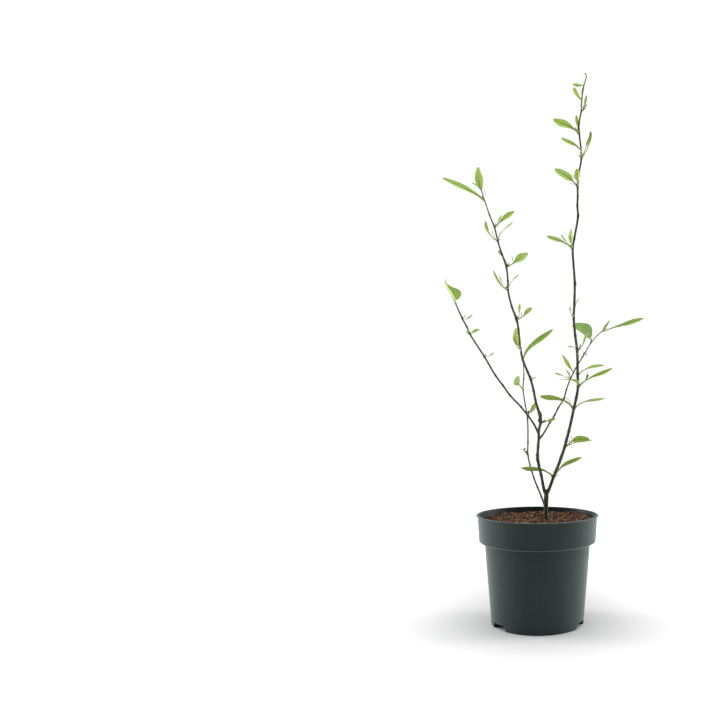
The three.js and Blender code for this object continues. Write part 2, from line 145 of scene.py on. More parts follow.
# Reliefs of the bark: their features round a limb and along it, and where in the noise each lies
BARK_SWELLS = (1.7, 0.16, 0)
BARK_RIDGES = (4.5, 0.35, 50)
BARK_PORES = (3.2, 1.3, 90)
SWELL_RISE = 0.05
RIDGE_RISE = 0.055
PORE_RISE = 0.1
PORE_RANGE = (0.42, 0.6)
SPUR_FOOT_RADIUS = 1.05
SPUR_TIP_RADIUS = 0.85
SHOOT_TIP_RADIUS = 0.8
FOOT_DEPTH = 0.3
LEAF_FOOT_SHARE = 0.9
SHEATH_FOOT_SHARE = 0.5
STALK_RADIUS = 0.95
STALK_SIDES = 8
STALK_FLARE = 0.5
STALK_FLARE_REACH = 0.03
RIB_END = 0.97
# The least length of a leaf for each number of side veins
VEIN_COUNTS = ((30, 8), (18, 6), (0, 4))
SHEATH_VEINS = 2
BLADE_THICKNESS = 0.32
BLADE_TWIST = 0.2
BLADE_COLUMNS = (0.0, 0.06, 0.26, 0.48, 0.7, 0.88, 1.0)
VEIN_ROWS = (0.0, 0.13, 0.5, 0.87)
VEIN_SWEEP = 0.2
EDGE_WAVES = 1.8
EDGE_WAVE_RISE = 0.05
VEIN_RISE = 0.004
SCALE_LENGTH = 5
SCALE_WIDTH = 2.2
SCALE_SPREAD = 1.6
SEED = 417

# Plain colours, as red, green and blue from 0 to 255
LEAF_TINTS = {
    "bright": (139, 168, 60), "fresh": (137, 168, 74), "pale": (145, 172, 84), "deep": (114, 153, 50),
    "cool": (130, 166, 82), "yellow": (148, 170, 43), "gold": (132, 156, 34), "sunlit": (166, 194, 102),
}
STALK_TINTS = {
    "stalk": (146, 168, 92), "stalk_foot": (128, 122, 78), "shoot": (110, 138, 82), "spur": (84, 74, 56),
}
SHEATH_TINTS = {"brown": (100, 86, 56), "grey": (176, 172, 156), "green": (158, 168, 116)}
COIR_TINTS = {
    "coir_dark": (54, 39, 29), "coir_brown": (100, 70, 48), "coir_red": (128, 86, 60),
    "coir_tan": (160, 122, 90), "coir_pale": (172, 158, 126),
}

# The parts of a blade, and how far and towards which colour each is moved from the leaf's tint
BLADE_PARTS = (
    ("", 0, (216, 226, 170)),
    ("_vein", 0.03, (216, 226, 170)),
    ("_rib", 0.07, (216, 226, 170)),
    ("_under", 0.1, (190, 208, 170)),
)

# Fine grains: the gloss, the features of the grain per metre, its detail and its stretch, the least and
# most roughness that it gives, and the strength and depth of its relief
LEAF_GRAIN = (0.3, (900, 2.0), (0.46, 0.56), (0.05, 0.04))
SHEATH_GRAIN = (0.5, (2200, 3.0, (1.0, 1.0, 0.25)), (0.6, 0.85), (0.5, 0.12))
COIR_GRAIN = (0.25, (1500, 4.0), (0.75, 0.98), (0.8, 0.3))

USUAL_LEAF = {
    "kind": "leaves", "hook": (0, 0), "widest": 0.58, "wedge": 1.1, "blunt": 0.7, "fold": 0.15, "stout": 1,
    "at": 0, "start": None,
}


def spot(*numbers):
    """A place or direction that can be added and scaled"""
    return np.array(numbers, dtype=float)


def leaf(right, back, up, width, tint, turn, bow, stalk, **shape):
    """A leaf by where its tip lies from its bud. turn rolls the blade about its midrib, and bow and hook bend
    that line. stalk is the share of the line without blade, and widest is where along the blade it is
    widest. The smaller wedge and blunt are, the fuller is the blade below and above that place. fold is how
    far its edges rise for each unit of half width, stout thickens its stalk, at is its place on a shoot, and
    start is where it grows from, from its bud."""
    known = {"reach": spot(right, back, up), "width": width, "tint": tint, "turn": turn}
    return SimpleNamespace(**{**USUAL_LEAF, **known, "bow": bow, "stalk": stalk, **shape})


def sheath(right, back, up, width=1.6, tint="brown", start=None, bow=(0, 0.3)):
    """A scale of the opened bud, or a stipule, by where its tip lies from its bud. It is a small blade
    folded like a boat."""
    usual = {"kind": "sheaths", "widest": 0.4, "blunt": 1, "fold": 0.7}
    return leaf(right, back, up, width, "sheath_" + tint, 20, bow, 0, start=start, **usual)


def scar(level, heading, length, rise, stub=0):
    """A swelling of the bark at a level, on the side at a heading from the front, with the length of the
    cut twig that stands on it"""
    angle = math.radians(heading)
    side = spot(math.sin(angle), -math.cos(angle), 0)
    return SimpleNamespace(kind="scars", level=level, side=side, length=length, rise=rise, stub=stub)


def limb(name, sizes, young, *rows):
    """A limb with its thickness at its foot and tip and the swelling of its foot, and the levels between
    which its bark turns young. Its rows are its scars, and its places from its foot to its tip. After each
    place follows what grows from its bud, and a list of the bends that lead along its spur or new shoot."""
    foot, tip, swell = sizes
    scars, buds = [], []
    for row in rows:
        if isinstance(row, tuple):
            buds.append(SimpleNamespace(place=spot(*row), leaves=[], sheaths=[], bends=[]))
        elif isinstance(row, list):
            buds[-1].bends = row
        elif row.kind == "scars":
            scars.append(row)
        else:
            getattr(buds[-1], row.kind).append(row)
    places = np.array([one.place for one in buds])
    gaps = np.linalg.norm(np.diff(places, axis=0), axis=1)
    return SimpleNamespace(
        name=name, foot=foot, tip=tip, swell=swell, young=young, scars=scars, buds=buds, places=places,
        runs=np.concatenate([[0], np.cumsum(gaps)]),
    )


TRUNK = limb(
    "trunk", (6, 6.6, 1.2), (300, 320),
    scar(166, -100, 2, 0.5, 3), scar(181, 10, 4, 0.35),
    (12, 7, MEDIUM_LEVEL), (12.2, 7, 158), (12.4, 7, 172), (12.8, 7, 184),
)
LEFT_LEADER = limb(
    "left_leader", (4.1, 1.8, 1.3), (545, 566),
    scar(283, 0, 9, 1.4), scar(296, 180, 5, 0.9), scar(338, 10, 3, 0.5, 4.5), scar(422, -100, 6, 0.9),
    scar(232, -90, 2.6, 0.9), scar(226, -85, 2.6, 0.9), scar(280, 80, 3.4, 0.75), scar(288, 90, 5, 2),
    scar(279, -95, 1.5, 0.4, 4.5), scar(296, -90, 1.2, 0.3, 2.6), scar(421, 80, 1.4, 0.5, 3.2),
    (12.2, 7, 177), (9.5, 6.5, 183), (5.2, 4, 205), (2, 3, 218), (0.5, 1.5, 232), (1, 0, 245), (2, -1, 258),
    (1.9, -1.8, 267),
    (4.2, -2.5, 277), [(5.8, -1.5, 2)],
    leaf(21, -9, 6.5, 4.5, "bright", 45, (0, 0), 0.12, wedge=0.7, blunt=0.6),
    sheath(8.3, -4, 3.5, 2.2), sheath(6.8, -1, 5, 1.8),
    sheath(-4.7, -2, 4, 1.9, "green", start=(-2.5, -1.5, 1)),
    (2, -4, 292), (-2.5, -6, 308), (-5.2, -8, 322),
    (-9.1, -10, 337),
    leaf(7.5, -7, 4, 2, "pale", 25, (0, 0), 0.1),
    sheath(3.5, -2.5, 3, 2),
    (-13.5, -11.5, 348), (-20, -14, 364),
    (-23.3, -16, 380),
    leaf(-5.5, -14, 26.5, 11, "gold", 55, (-2, -4), 0.06, widest=0.7, wedge=0.6, blunt=0.4),
    sheath(-0.5, -4, -1, 2.6, "grey", start=(-0.5, -2, -5)), sheath(-8, -3, 1, 1.1, start=(0, -2, -1.5)),
    (-24.7, -17.5, 392), (-26, -19.5, 406),
    (-28.2, -21, 419),
    leaf(4, 12, 23.5, 5, "yellow", 45, (1.5, -1), 0.16, hook=(1.5, -2), widest=0.7, blunt=0.6),
    leaf(21.5, -9, 14.5, 9, "pale", 25, (0.5, -0.5), 0.3, hook=(1.5, -2)),
    sheath(0.5, -3, 4, 1.8), sheath(7, -2, 10, 1.1, start=(6, -1.5, 3.5)),
    (-34.8, -23, 436),
    (-39.9, -26, 458),
    leaf(-19.5, -14, 25, 3.5, "bright", 25, (-1, -4), 0.16, wedge=0.9, blunt=0.6),
    leaf(-12, 9, 22, 2.5, "pale", 0, (-1, -3), 0.38),
    leaf(15, 14, 24, 3, "fresh", 55, (-4.5, -0.5), 0.48, widest=0.7),
    sheath(-4.5, -3, 4, 2.6), sheath(-2, -3, 6.5, 2.2, "green"), sheath(-3.5, -3, 0, 2.4),
    (-40, -28, 470),
    (-42, -31, 488),
    leaf(29.5, -8, 17.5, 14.5, "fresh", 25, (0, 0), 0.22, blunt=0.6),
    leaf(-9.5, 16, 27, 7.5, "bright", 0, (1.5, 0.5), 0.16, hook=(6, 2), widest=0.75),
    sheath(5, -3, 6, 1.7), sheath(5, -4, 17, 1.3, "grey", start=(7.5, -3, 6.5), bow=(2, 0)),
    (-48, -33.5, 506),
    (-53.2, -36, 522),
    leaf(20, 12, 30, 4, "fresh", 45, (-3, 2), 0.34, hook=(-4, 3), widest=0.75),
    leaf(-15, -13, 24.5, 5, "yellow", 0, (-5, -1), 0.08),
    leaf(-8, 8, 17.5, 2, "pale", 25, (-1.5, -1), 0.4),
    sheath(-2.5, -3, 5, 1.6, "grey"), sheath(2, -2, 5, 1.4, "green"),
    (-57.5, -38.5, 540),
    leaf(27, -12, 18.5, 8.5, "bright", 25, (-1, 1), 0.16, wedge=1, blunt=0.6),
    leaf(9.5, 7, 19, 3.5, "fresh", 65, (0, 0), 0.24),
    sheath(2.5, -2, 6, 1.4, "green"),
    (-64, -41, 556),
    sheath(-2.5, -1.5, 4, 1.6, "green"),
    (-69, -43.5, 570.5), [(-4, -2, 12), (-5.5, -3, 17)],
    leaf(-56.5, -12, 31, 9.5, "fresh", 25, (2.5, 1.5), 0, hook=(8, -1), wedge=1, stout=1.3),
    leaf(-9, -12, 45, 13.5, "bright", 65, (-0.5, 0), 0, widest=0.5, wedge=0.7, blunt=0.45, at=1),
    leaf(-19.5, 6, 29.5, 3.5, "deep", 45, (0.5, 1.5), 0.06, at=1),
    sheath(-2, -3, 18.5, 1.5, "grey", start=(-0.5, -2.5, 9.5)), sheath(-4, -1, 5, 1.6, "green"),
)
RIGHT_LEADER = limb(
    "right_leader", (4.5, 2, 1.2), (694, 708),
    scar(596, 180, 6, 0.9), scar(470.5, 75, 1.7, 0.6, 1.6), scar(467.5, 85, 1.5, 0.5),
    scar(562, 80, 1.5, 0.55, 1.6), scar(558.5, 90, 1.3, 0.45), scar(374, -60, 2.2, 0.4),
    scar(606, -90, 1.6, 0.5), scar(712, -80, 1.6, 0.35),
    (12.2, 7, 176), (16.2, 6.5, 184),
    (22.8, 6, 202),
    leaf(-47, 12, 12, 9.5, "fresh", 45, (1.5, 3.5), 0.14, hook=(3, 7), wedge=0.9, blunt=0.9, stout=1.4),
    leaf(39, -8, 28, 8.5, "bright", 45, (-3, 4), 0.2, hook=(-2, 4.5), wedge=0.8, stout=1.3),
    sheath(-1.5, -3, 10.5, 1.2, "grey", start=(0, -2.5, 5.5)),
    sheath(8.5, -3, 1, 1.2, "grey", start=(4, -2.5, 1.5)), sheath(-3, -2, 2, 1.8),
    (27.4, 5.5, 213), (32.9, 4.5, 228),
    (38.3, 3.5, 244), [(4.8, -1, 2.2)],
    leaf(33, -12, 12, 13, "bright", 45, (-1, 3), 0.12, hook=(-1, 4), wedge=0.9, blunt=0.6),
    leaf(38.5, 8, 8.5, 5, "fresh", 45, (-0.5, 2), 0.06, blunt=0.6),
    sheath(8, -3, 15.5, 1.3, "green", start=(9.5, -2, 10.5)), sheath(6.5, -2, 9.5, 1.4, start=(7, -1, 6)),
    sheath(10, -3, -2, 1.2, "grey", start=(9, -1, 1.5)),
    (40.5, 3, 253), (44.1, 2, 266.5),
    (51, 0, 298),
    leaf(
        -47.5, -6, 16.5, 9.5, "bright", 45, (1.5, 4.5), 0.3, hook=(2, 5.5), wedge=0.5, blunt=0.55,
        stout=1.5,
    ),
    leaf(44.5, 14, 14, 6, "pale", 45, (-1, 3.5), 0.24, hook=(-1.5, 5), wedge=0.8, blunt=0.6, stout=1.2),
    sheath(-15, -3, 16, 1.2, start=(-4.5, -2, 6), bow=(0.5, 1.5)),
    sheath(-16.5, -4, 11.5, 1.6, start=(-14, -3.5, 11)),
    (54.3, -1, 313),
    (56.5, -2, 328),
    leaf(47, -10, 25.5, 7, "bright", 45, (-1, 2), 0.26, hook=(-2.5, 4.5), wedge=0.9, blunt=0.6, stout=1.3),
    leaf(11.5, -5, 21.5, 3.5, "deep", 55, (5.5, 1), 0.3, wedge=0.6, blunt=0.5),
    leaf(-29.5, -12, 9.5, 5.5, "pale", 35, (11.5, 3), 0.24, widest=0.25, wedge=0.7, blunt=1.4),
    sheath(4, -2, 4, 1.7), sheath(2, -3, 6, 1.4, "green"),
    (55.9, -3, 345),
    leaf(38.5, 20, 13.5, 6, "fresh", 45, (-4.5, 2.5), 0.24, wedge=0.8, blunt=0.5, stout=1.3),
    sheath(-4.5, -2, 1.5, 1.5, "green"),
    (55.2, -4.5, 377),
    leaf(12, -12, 25.5, 5, "pale", 0, (2.5, -1), 0.06, widest=0.65),
    leaf(-14.5, -9, 5, 2.5, "pale", 45, (2.5, 2.5), 0.44),
    sheath(4, -3, 11, 2.4, start=(2.5, -2, 2), bow=(1, 0)), sheath(-1.5, -3.5, 9, 2.4, start=(-1, -3, 4.5)),
    sheath(7.5, -3, -9.5, 1.4, "green", start=(-1.5, -3, -1), bow=(-1.5, -1)),
    (52.4, -6, 398),
    (50.2, -8, 423),
    leaf(-3, -9, 17.5, 2.5, "pale", 25, (-3.5, 1.5), 0.16),
    leaf(9, 10, 29.5, 2, "pale", 75, (-2.5, 1.5), 0.42),
    sheath(-2.5, -2, 5, 1.4, "green"),
    (51, -9.5, 442), (51.4, -12, 470),
    (48.5, -16, 517),
    leaf(-36, -9, 15, 9, "pale", 25, (0.5, 2), 0.24, hook=(0.5, 3.5), wedge=0.9, blunt=0.65, stout=1.4),
    leaf(-16, 12, 22, 3.5, "deep", 65, (-0.5, -0.5), 0.4, wedge=0.7, blunt=0.5),
    leaf(-2.5, -14, 23.5, 8, "bright", 45, (-1.5, -0.5), 0.2, wedge=0.8, blunt=0.5),
    sheath(-3.5, -3, 10, 1.7), sheath(-5, -2, 5),
    (50.5, -17, 530), (55.4, -19, 559.5), (54.6, -20, 574), (55, -20.5, 587),
    (55.1, -21, 600),
    leaf(
        -32, -9, 21.5, 13, "fresh", 25, (1.5, 1.5), 0.26, hook=(1.5, 2), widest=0.4, wedge=0.8, blunt=0.5,
        stout=1.2,
    ),
    leaf(-1, -8, 22.5, 10, "yellow", 45, (0, 0), 0.24, widest=0.5, blunt=0.6),
    sheath(-8, -4, 15.5, 1.2, start=(-3, -3, 8)), sheath(-13, -4, 3, 1.2, "grey", start=(-5, -3, 2)),
    sheath(-2.5, -3, 3.5, 2.4),
    (56.5, -21.5, 618),
    (60, -22, 639),
    leaf(-28, -13, 23, 6.5, "bright", 25, (5.5, 3.5), 0.3, hook=(8.5, 3.5), wedge=0.9, stout=1.5),
    leaf(13.5, 12, 41, 5, "bright", 0, (3, -1), 0.3, wedge=0.7, blunt=0.5),
    leaf(11.5, 18, 35, 3, "fresh", 0, (0.5, 0), 0.4),
    sheath(-2, -3, 8, 2.2), sheath(3.5, -2, 6, 2), sheath(-1, -3, 4, 1.8, "grey"),
    (57.1, -22, 672),
    leaf(
        -36, -11, 15.5, 12, "bright", 25, (1, 1.5), 0.24, hook=(2, 3), widest=0.5, wedge=0.8, blunt=0.55,
        stout=1.7,
    ),
    leaf(-3, 15, 31.5, 6.5, "yellow", 35, (-1, 0), 0.22, widest=0.5, blunt=0.6),
    sheath(-8, -3, 9, 1.5, "grey"), sheath(-3.5, -3, 6, 1.6, "green"),
    (56.7, -21.5, 686),
    (59.6, -21, 702), [(5.5, -1, 5.5)],
    leaf(7.5, -8, 20, 5, "cool", 65, (-1, 0), 0.04, widest=0.45),
    sheath(8.5, -2, 9, 2), sheath(4, -3, 9, 1.8, "green"),
    (60.5, -20, 717), [(1.5, 0, 13), (2.7, 0, 20), (5, -1, 28), (6.3, -2, 33.7), (4.5, -2, 37.5)],
    leaf(-11.5, -9, 15, 7.5, "bright", 0, (-1.5, -1), 0.06, wedge=0.8, blunt=0.55, start=(0.5, -0.5, 1)),
    leaf(-12.5, -7, 20.5, 5.5, "fresh", 25, (2, -2.5), 0.14, widest=0.72, wedge=0.5, blunt=0.5, at=0.5),
    leaf(2, -6, 36, 2, "cool", 0, (0, 0), 0.1, at=0.9),
    sheath(-2, -2, 5, 1.8), sheath(2.5, -2, 12, 1.4, "green"),
)
LEFT_BRANCH = limb(
    "left_branch", (2.7, 2.3, 0.7), (424, 449),
    scar(276, -80, 2.5, 0.3),
    (2.5, -1, 260), (-5, 1, 276),
    (-13, 4, 287), [(1, -3, 5)],
    leaf(10, 9, 19, 9, "fresh", 0, (0.5, -4), 0.14, blunt=0.6),
    sheath(1.5, -4, 8, 3.2), sheath(0, -5, 7.5, 2.8),
    (-23.3, 7, 300), (-38.5, 10, 316), (-48.7, 13, 330), (-59.8, 16, 345),
    (-75.3, 21.5, 371),
    leaf(14, -8, 6, 3, "pale", 25, (0, -2), 0.3, stout=0.6),
    sheath(1.5, -1.5, 4, 1.4, "green"), sheath(-2.5, -1.5, -2, 1.8),
    (-96.5, 28, 404),
    leaf(13.5, 10, 7, 6.5, "fresh", 55, (-0.5, 1.5), 0.14, widest=0.4),
    leaf(-2, -6, 7, 5.5, "deep", 35, (-1.5, -3), 0.6, widest=0.5),
    sheath(1, -2, 4, 1.3, "grey"),
    (-101.5, 30, 415),
    (-107.8, 32, 426.5),
    leaf(16, -11, 5.5, 3, "pale", 25, (-1.5, -4), 0.4, widest=0.5, stout=0.6),
    sheath(1, -1.5, 3.5, 1.4, "green"),
    (-118, 35, 449), [(-0.5, 0, 3)],
    leaf(
        -13.5, -8, 36, 20, "sunlit", -50, (-2.5, -1), 0.08, hook=(4, 2), widest=0.2, wedge=1, blunt=1.5,
        fold=1,
    ),
    sheath(-4, -2, 6.5, 1.8, "grey"), sheath(-3.5, -2, 4, 1.4),
)
RIGHT_BRANCH = limb(
    "right_branch", (2.4, 1.5, 0.8), (372, 398),
    scar(310, -70, 1.6, 0.5), scar(311, 90, 1.6, 0.4),
    (1.5, -0.5, 253), (9.5, 2.5, 264), (17.7, 6.5, 278), (24.2, 9, 288), (29.5, 11.5, 298.5),
    (37.2, 14, 311), (41, 16.5, 324),
    (47, 19.5, 340),
    leaf(-6.5, 6, 13, 3, "deep", 75, (2, -1), 0.3, widest=0.45),
    leaf(-23, 8, 8, 3.5, "fresh", 45, (0.5, 0.5), 0.22, widest=0.7),
    leaf(-11.5, 11, 35, 8, "gold", 65, (-1, -0.5), 0, wedge=1, blunt=0.65, start=(4.5, 2, 9.5)),
    sheath(-2.5, -2, 4, 1.5, "green"),
    (55.7, 24, 356.5),
    (64.8, 30.5, 371.5), [(3, 1, 4)],
    leaf(5, 7, 7, 2, "fresh", 45, (2, -2), 0.1),
    sheath(2.5, -2, 7, 3), sheath(4, -1, 3, 2.6, "green"),
    (77.2, 39.5, 392), [(1, 0.5, 6)],
    leaf(-27, 8, 25.5, 22, "cool", 20, (0.5, 0.5), 0.08, widest=0.3, wedge=0.75, blunt=0.5, fold=1.1),
    (87.5, 46.5, 404.5), [(4.5, 2, 3.5), (10.5, 4, 7)],
    leaf(
        69.5, 12, 26, 9, "deep", 45, (-2, -0.5), 0.02, hook=(-10, -2), widest=0.7, blunt=0.8, at=1,
        stout=1.3,
    ),
    leaf(17, -12, 21, 3.5, "deep", 25, (0.5, -0.5), 0.08, widest=0.5, at=0.5),
    sheath(7, -1, 6, 1.4, "green"),
)
BASAL_SHOOT = limb(
    "basal_shoot", (2.4, 1.5, 0.6), (338, 352),
    scar(186, 90, 1.5, 0.4), scar(341, 90, 1.5, 0.5),
    (11.5, 8, 157), (9.2, 10, 163), (5.5, 13, 173.5), (-5, 18.5, 199),
    (-13.5, 24, 231), [(-3, -2, 4)],
    leaf(-3.5, -7, 11, 4, "fresh", 0, (-2, -0.5), 0.4, blunt=0.6),
    sheath(-4.5, -3, 6, 2.4), sheath(-11.5, -3, 11, 1.1, "grey", start=(-7, -3, 6.5)),
    (-13.5, 25.5, 249), (-14.2, 29, 282),
    (-20.6, 33, 325),
    leaf(-9.5, -17, 16.5, 15, "deep", 75, (-1, -0.5), 0.4, wedge=0.7, blunt=0.35),
    sheath(-2, -2, 3, 1.4),
    (-19.5, 35, 347),
    (-21, 37.5, 368), [(0.5, 0, 3)],
    leaf(43.5, 4, 44.5, 10, "deep", 45, (-3, 3), 0.02, hook=(-4, 4.5), wedge=0.5, blunt=0.5),
    sheath(-1.5, -2, 5, 1.6, "green"),
)
LIMBS = (TRUNK, LEFT_LEADER, RIGHT_LEADER, LEFT_BRANCH, RIGHT_BRANCH, BASAL_SHOOT)


# Curves and frames

class Curve:
    """A smooth line through places, by the directions in which it leaves and reaches them"""

    def __init__(self, places, leaving, arriving):
        self.places = places
        step = np.diff(places, axis=0)
        square = 3 * step - 2 * leaving - arriving
        cube = -2 * step + leaving + arriving
        self.powers = (places[:-1], leaving, square, cube)

    def at(self, along):
        """Middles and forward directions at places along the curve, from 0 to 1"""
        reach = np.clip(along, 0, 1) * (len(self.places) - 1)
        segment = np.minimum(reach.astype(int), len(self.places) - 2)
        t = (reach - segment)[:, None]
        c0, c1, c2, c3 = (power[segment] for power in self.powers)
        middle = c0 + t * (c1 + t * (c2 + t * c3))
        forward = c1 + t * (2 * c2 + t * 3 * c3)
        return middle, forward / np.linalg.norm(forward, axis=1)[:, None]

    def middle(self, share):
        """The middle at one place along the curve"""
        return self.at(np.array([share]))[0][0]


def curve_through(places):
    """A curve through places, drawn as the part's source draws it"""
    places = np.array(places, dtype=float)
    knots = np.vstack([2 * places[0] - places[1], places, 2 * places[-1] - places[-2]])
    gaps = np.sqrt(np.linalg.norm(np.diff(knots, axis=0), axis=1))[:, None]
    slopes = np.diff(knots, axis=0) / gaps
    tangents = slopes[:-1] - (knots[2:] - knots[:-2]) / (gaps[:-1] + gaps[1:]) + slopes[1:]
    return Curve(places, tangents[:-1] * gaps[1:-1], tangents[1:] * gaps[1:-1])


def spine_of(shape, foot, tip):
    """The bent line of a leaf from its foot to its tip. bow moves its middle to the right and up, and hook
    moves its lower part so, and its upper part the other way."""
    ends = np.array([foot, tip])
    arch = 4 * spot(shape.bow[0], 0, shape.bow[1])
    heading = np.diff(ends, axis=0) + 3 * spot(shape.hook[0], 0, shape.hook[1])
    return Curve(ends, heading + arch, heading - arch)


def frames_on(curve, along, wanted):
    """Middle, across and upper directions of a curve. upper is the one nearest to wanted."""
    middle, forward = curve.at(along)
    across = np.cross(forward, wanted)
    across = across / np.linalg.norm(across, axis=1)[:, None]
    return middle, across, np.cross(across, forward)


def circle(sides):
    """The angles of the points round a ring"""
    return np.arange(sides) * 2 * math.pi / sides


def spokes(across, upper, sides):
    """The outward directions at each side of each ring"""
    turn = circle(sides)[None, :, None]
    return across[:, None, :] * np.cos(turn) + upper[:, None, :] * np.sin(turn)


def smooth_step(value, low, high):
    share = np.clip((value - low) / (high - low), 0, 1)
    return share * share * (3 - 2 * share)


def round_bump(distance, reach):
    return np.exp(-((distance / reach) ** 2))


def noise_at(*coordinates):
    """Smooth noise from about -1 to 1 at each point"""
    points = np.stack(np.broadcast_arrays(*coordinates), axis=-1)
    values = [noise.noise(Vector(point)) for point in points.reshape(-1, 3)]
    return np.array(values).reshape(points.shape[:-1])


# Meshes

def put(name, data):
    """Puts an object with its data into the scene"""
    thing = bpy.data.objects.new(name, data)
    bpy.context.scene.collection.objects.link(thing)
    return thing


def mesh_of(name, points, faces):
    """A mesh in metres from points in millimetres"""
    mesh = bpy.data.meshes.new(name)
    mesh.from_pydata((np.asarray(points) * MM).tolist(), [], faces)
    return mesh


def place_piece(name, mesh, slot, nodes, crease=None):
    """Puts a mesh into the scene as a piece of the part that stands for some of its nodes"""
    mesh.polygons.foreach_set("use_smooth", [True] * len(mesh.polygons))
    if crease is not None:
        mesh.set_sharp_from_angle(angle=math.radians(crease))
    mesh.update()
    piece = put(name, mesh)
    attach(piece, "root")
    if nodes:
        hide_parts(*nodes)


class Pile:
    """Small shapes gathered into one mesh, in millimetres, each face with its tint"""

    def __init__(self):
        self.points = []
        self.faces = []
        self.tints = []
        self.count = 0

    def add(self, points, faces, tints):
        """tints is one tint for the shape, or one for each face"""
        self.points.append(np.asarray(points, dtype=float))
        self.faces.extend([tuple(corner + self.count for corner in face) for face in faces])
        self.tints.extend([tints] * len(faces) if isinstance(tints, str) else tints)
        self.count += len(points)

    def mesh(self, name, finishes):
        mesh = mesh_of(name, np.vstack(self.points), self.faces)
        used = sorted(set(self.tints))
        for tint in used:
            mesh.materials.append(finishes[tint])
        mesh.polygons.foreach_set("material_index", [used.index(tint) for tint in self.tints])
        return mesh

    def place(self, name, finishes, slot, nodes, crease=None):
        """Makes the shapes a piece of the part"""
        place_piece(name, self.mesh(name, finishes), slot, nodes, crease)


def ringed_faces(rings, sides):
    """Quads between rings of points, and a fan over each end"""
    foot, tip, last = rings * sides, rings * sides + 1, (rings - 1) * sides
    around = [(side, (side + 1) % sides) for side in range(sides)]
    faces = []
    for low in range(0, last, sides):
        faces += [(low + a, low + b, low + b + sides, low + a + sides) for a, b in around]
    for a, b in around:
        faces += [(foot, b, a), (tip, last + a, last + b)]
    return faces


def tube(curve, along, radii, sides, wanted=BACK):
    """Points and faces of a closed round tube on a curve. radii is one radius for each ring, or for each
    point of each ring."""
    middle, across, upper = frames_on(curve, along, wanted)
    radii = np.asarray(radii, dtype=float)
    if radii.ndim == 1:
        radii = np.repeat(radii[:, None], sides, axis=1)
    points = middle[:, None, :] + radii[:, :, None] * spokes(across, upper, sides)
    return np.vstack([points.reshape(-1, 3), middle[:1], middle[-1:]]), ringed_faces(len(along), sides)


# Finishes

def linear(colour):
    """A colour given from 0 to 255, as the shader takes it"""
    shares = [value / 255 for value in colour]
    return tuple(s / 12.92 if s <= 0.04045 else ((s + 0.055) / 1.055) ** 2.4 for s in shares) + (1.0,)


def grey(value):
    return (value, value, value, 1.0)


def feed(tree, node, inputs):
    """Gives each named input of a node a plain value, or the socket that leads to it"""
    for name, value in inputs.items():
        if isinstance(value, bpy.types.NodeSocket):
            tree.links.new(value, node.inputs[name])
        else:
            node.inputs[name].default_value = value


def add_node(tree, kind, inputs, **settings):
    node = tree.nodes.new("ShaderNode" + kind)
    for name, value in settings.items():
        setattr(node, name, value)
    feed(tree, node, inputs)
    return node


def own_place(tree, kind="Object"):
    """The coordinates of the object itself, or of another kind"""
    return add_node(tree, "TexCoord", {}).outputs[kind]


def noise_over(tree, scale, detail, stretch=None):
    """Noise over an object, in features per metre"""
    place = own_place(tree)
    if stretch:
        place = add_node(tree, "Mapping", {"Vector": place, "Scale": stretch}).outputs["Vector"]
    return add_node(tree, "TexNoise", {"Vector": place, "Scale": scale, "Detail": detail}).outputs["Fac"]


def ramp(tree, source, stops, kind=linear):
    """Colours or greys over a value, from (place, colour) stops"""
    node = add_node(tree, "ValToRGB", {"Fac": source})
    while len(node.color_ramp.elements) < len(stops):
        node.color_ramp.elements.new(0.5)
    for element, (place, colour) in zip(node.color_ramp.elements, stops):
        element.position = place
        element.color = kind(colour)
    return node.outputs["Color"]


def spread(tree, value, source, result, **settings):
    """A value carried from one range to another"""
    names = ("From Min", "From Max", "To Min", "To Max")
    inputs = {"Value": value, **dict(zip(names, source + result))}
    return add_node(tree, "MapRange", inputs, **settings).outputs["Result"]


def mixed(tree, share, first, second):
    """A mix of two colours, each a socket or a plain colour"""
    mix = tree.nodes.new("ShaderNodeMix")
    mix.data_type = "RGBA"
    sockets = [place for place, one in enumerate(mix.inputs) if one.type == "RGBA"]
    feed(tree, mix, {"Factor": share, sockets[0]: first, sockets[1]: second})
    return next(one for one in mix.outputs if one.type == "RGBA")


def new_finish(name, colour, roughness, gloss):
    """A finish with one plain colour, its node tree and its shader"""
    finish = bpy.data.materials.new(name)
    finish.use_nodes = True
    tree = finish.node_tree
    shader = tree.nodes["Principled BSDF"]
    feed(tree, shader, {"Base Color": linear(colour), "Roughness": roughness, "Specular IOR Level": gloss})
    return finish, tree, shader


def add_grain(tree, shader, rough_source, roughness, bump_source, relief):
    """Roughness between two values over one noise, and relief of a strength and a depth over another"""
    rough = ramp(tree, rough_source, list(zip((0.3, 0.7), roughness)), grey)
    bump = add_node(tree, "Bump", {"Height": bump_source, "Strength": relief[0], "Distance": relief[1] * MM})
    feed(tree, shader, {"Roughness": rough, "Normal": bump.outputs["Normal"]})


def grained_finish(name, colour, gloss, grain, roughness, relief):
    """A plain colour with a fine grain in its gloss and relief"""
    finish, tree, shader = new_finish(name, colour, roughness[0], gloss)
    texture = noise_over(tree, *grain)
    add_grain(tree, shader, texture, roughness, texture, relief)
    return finish


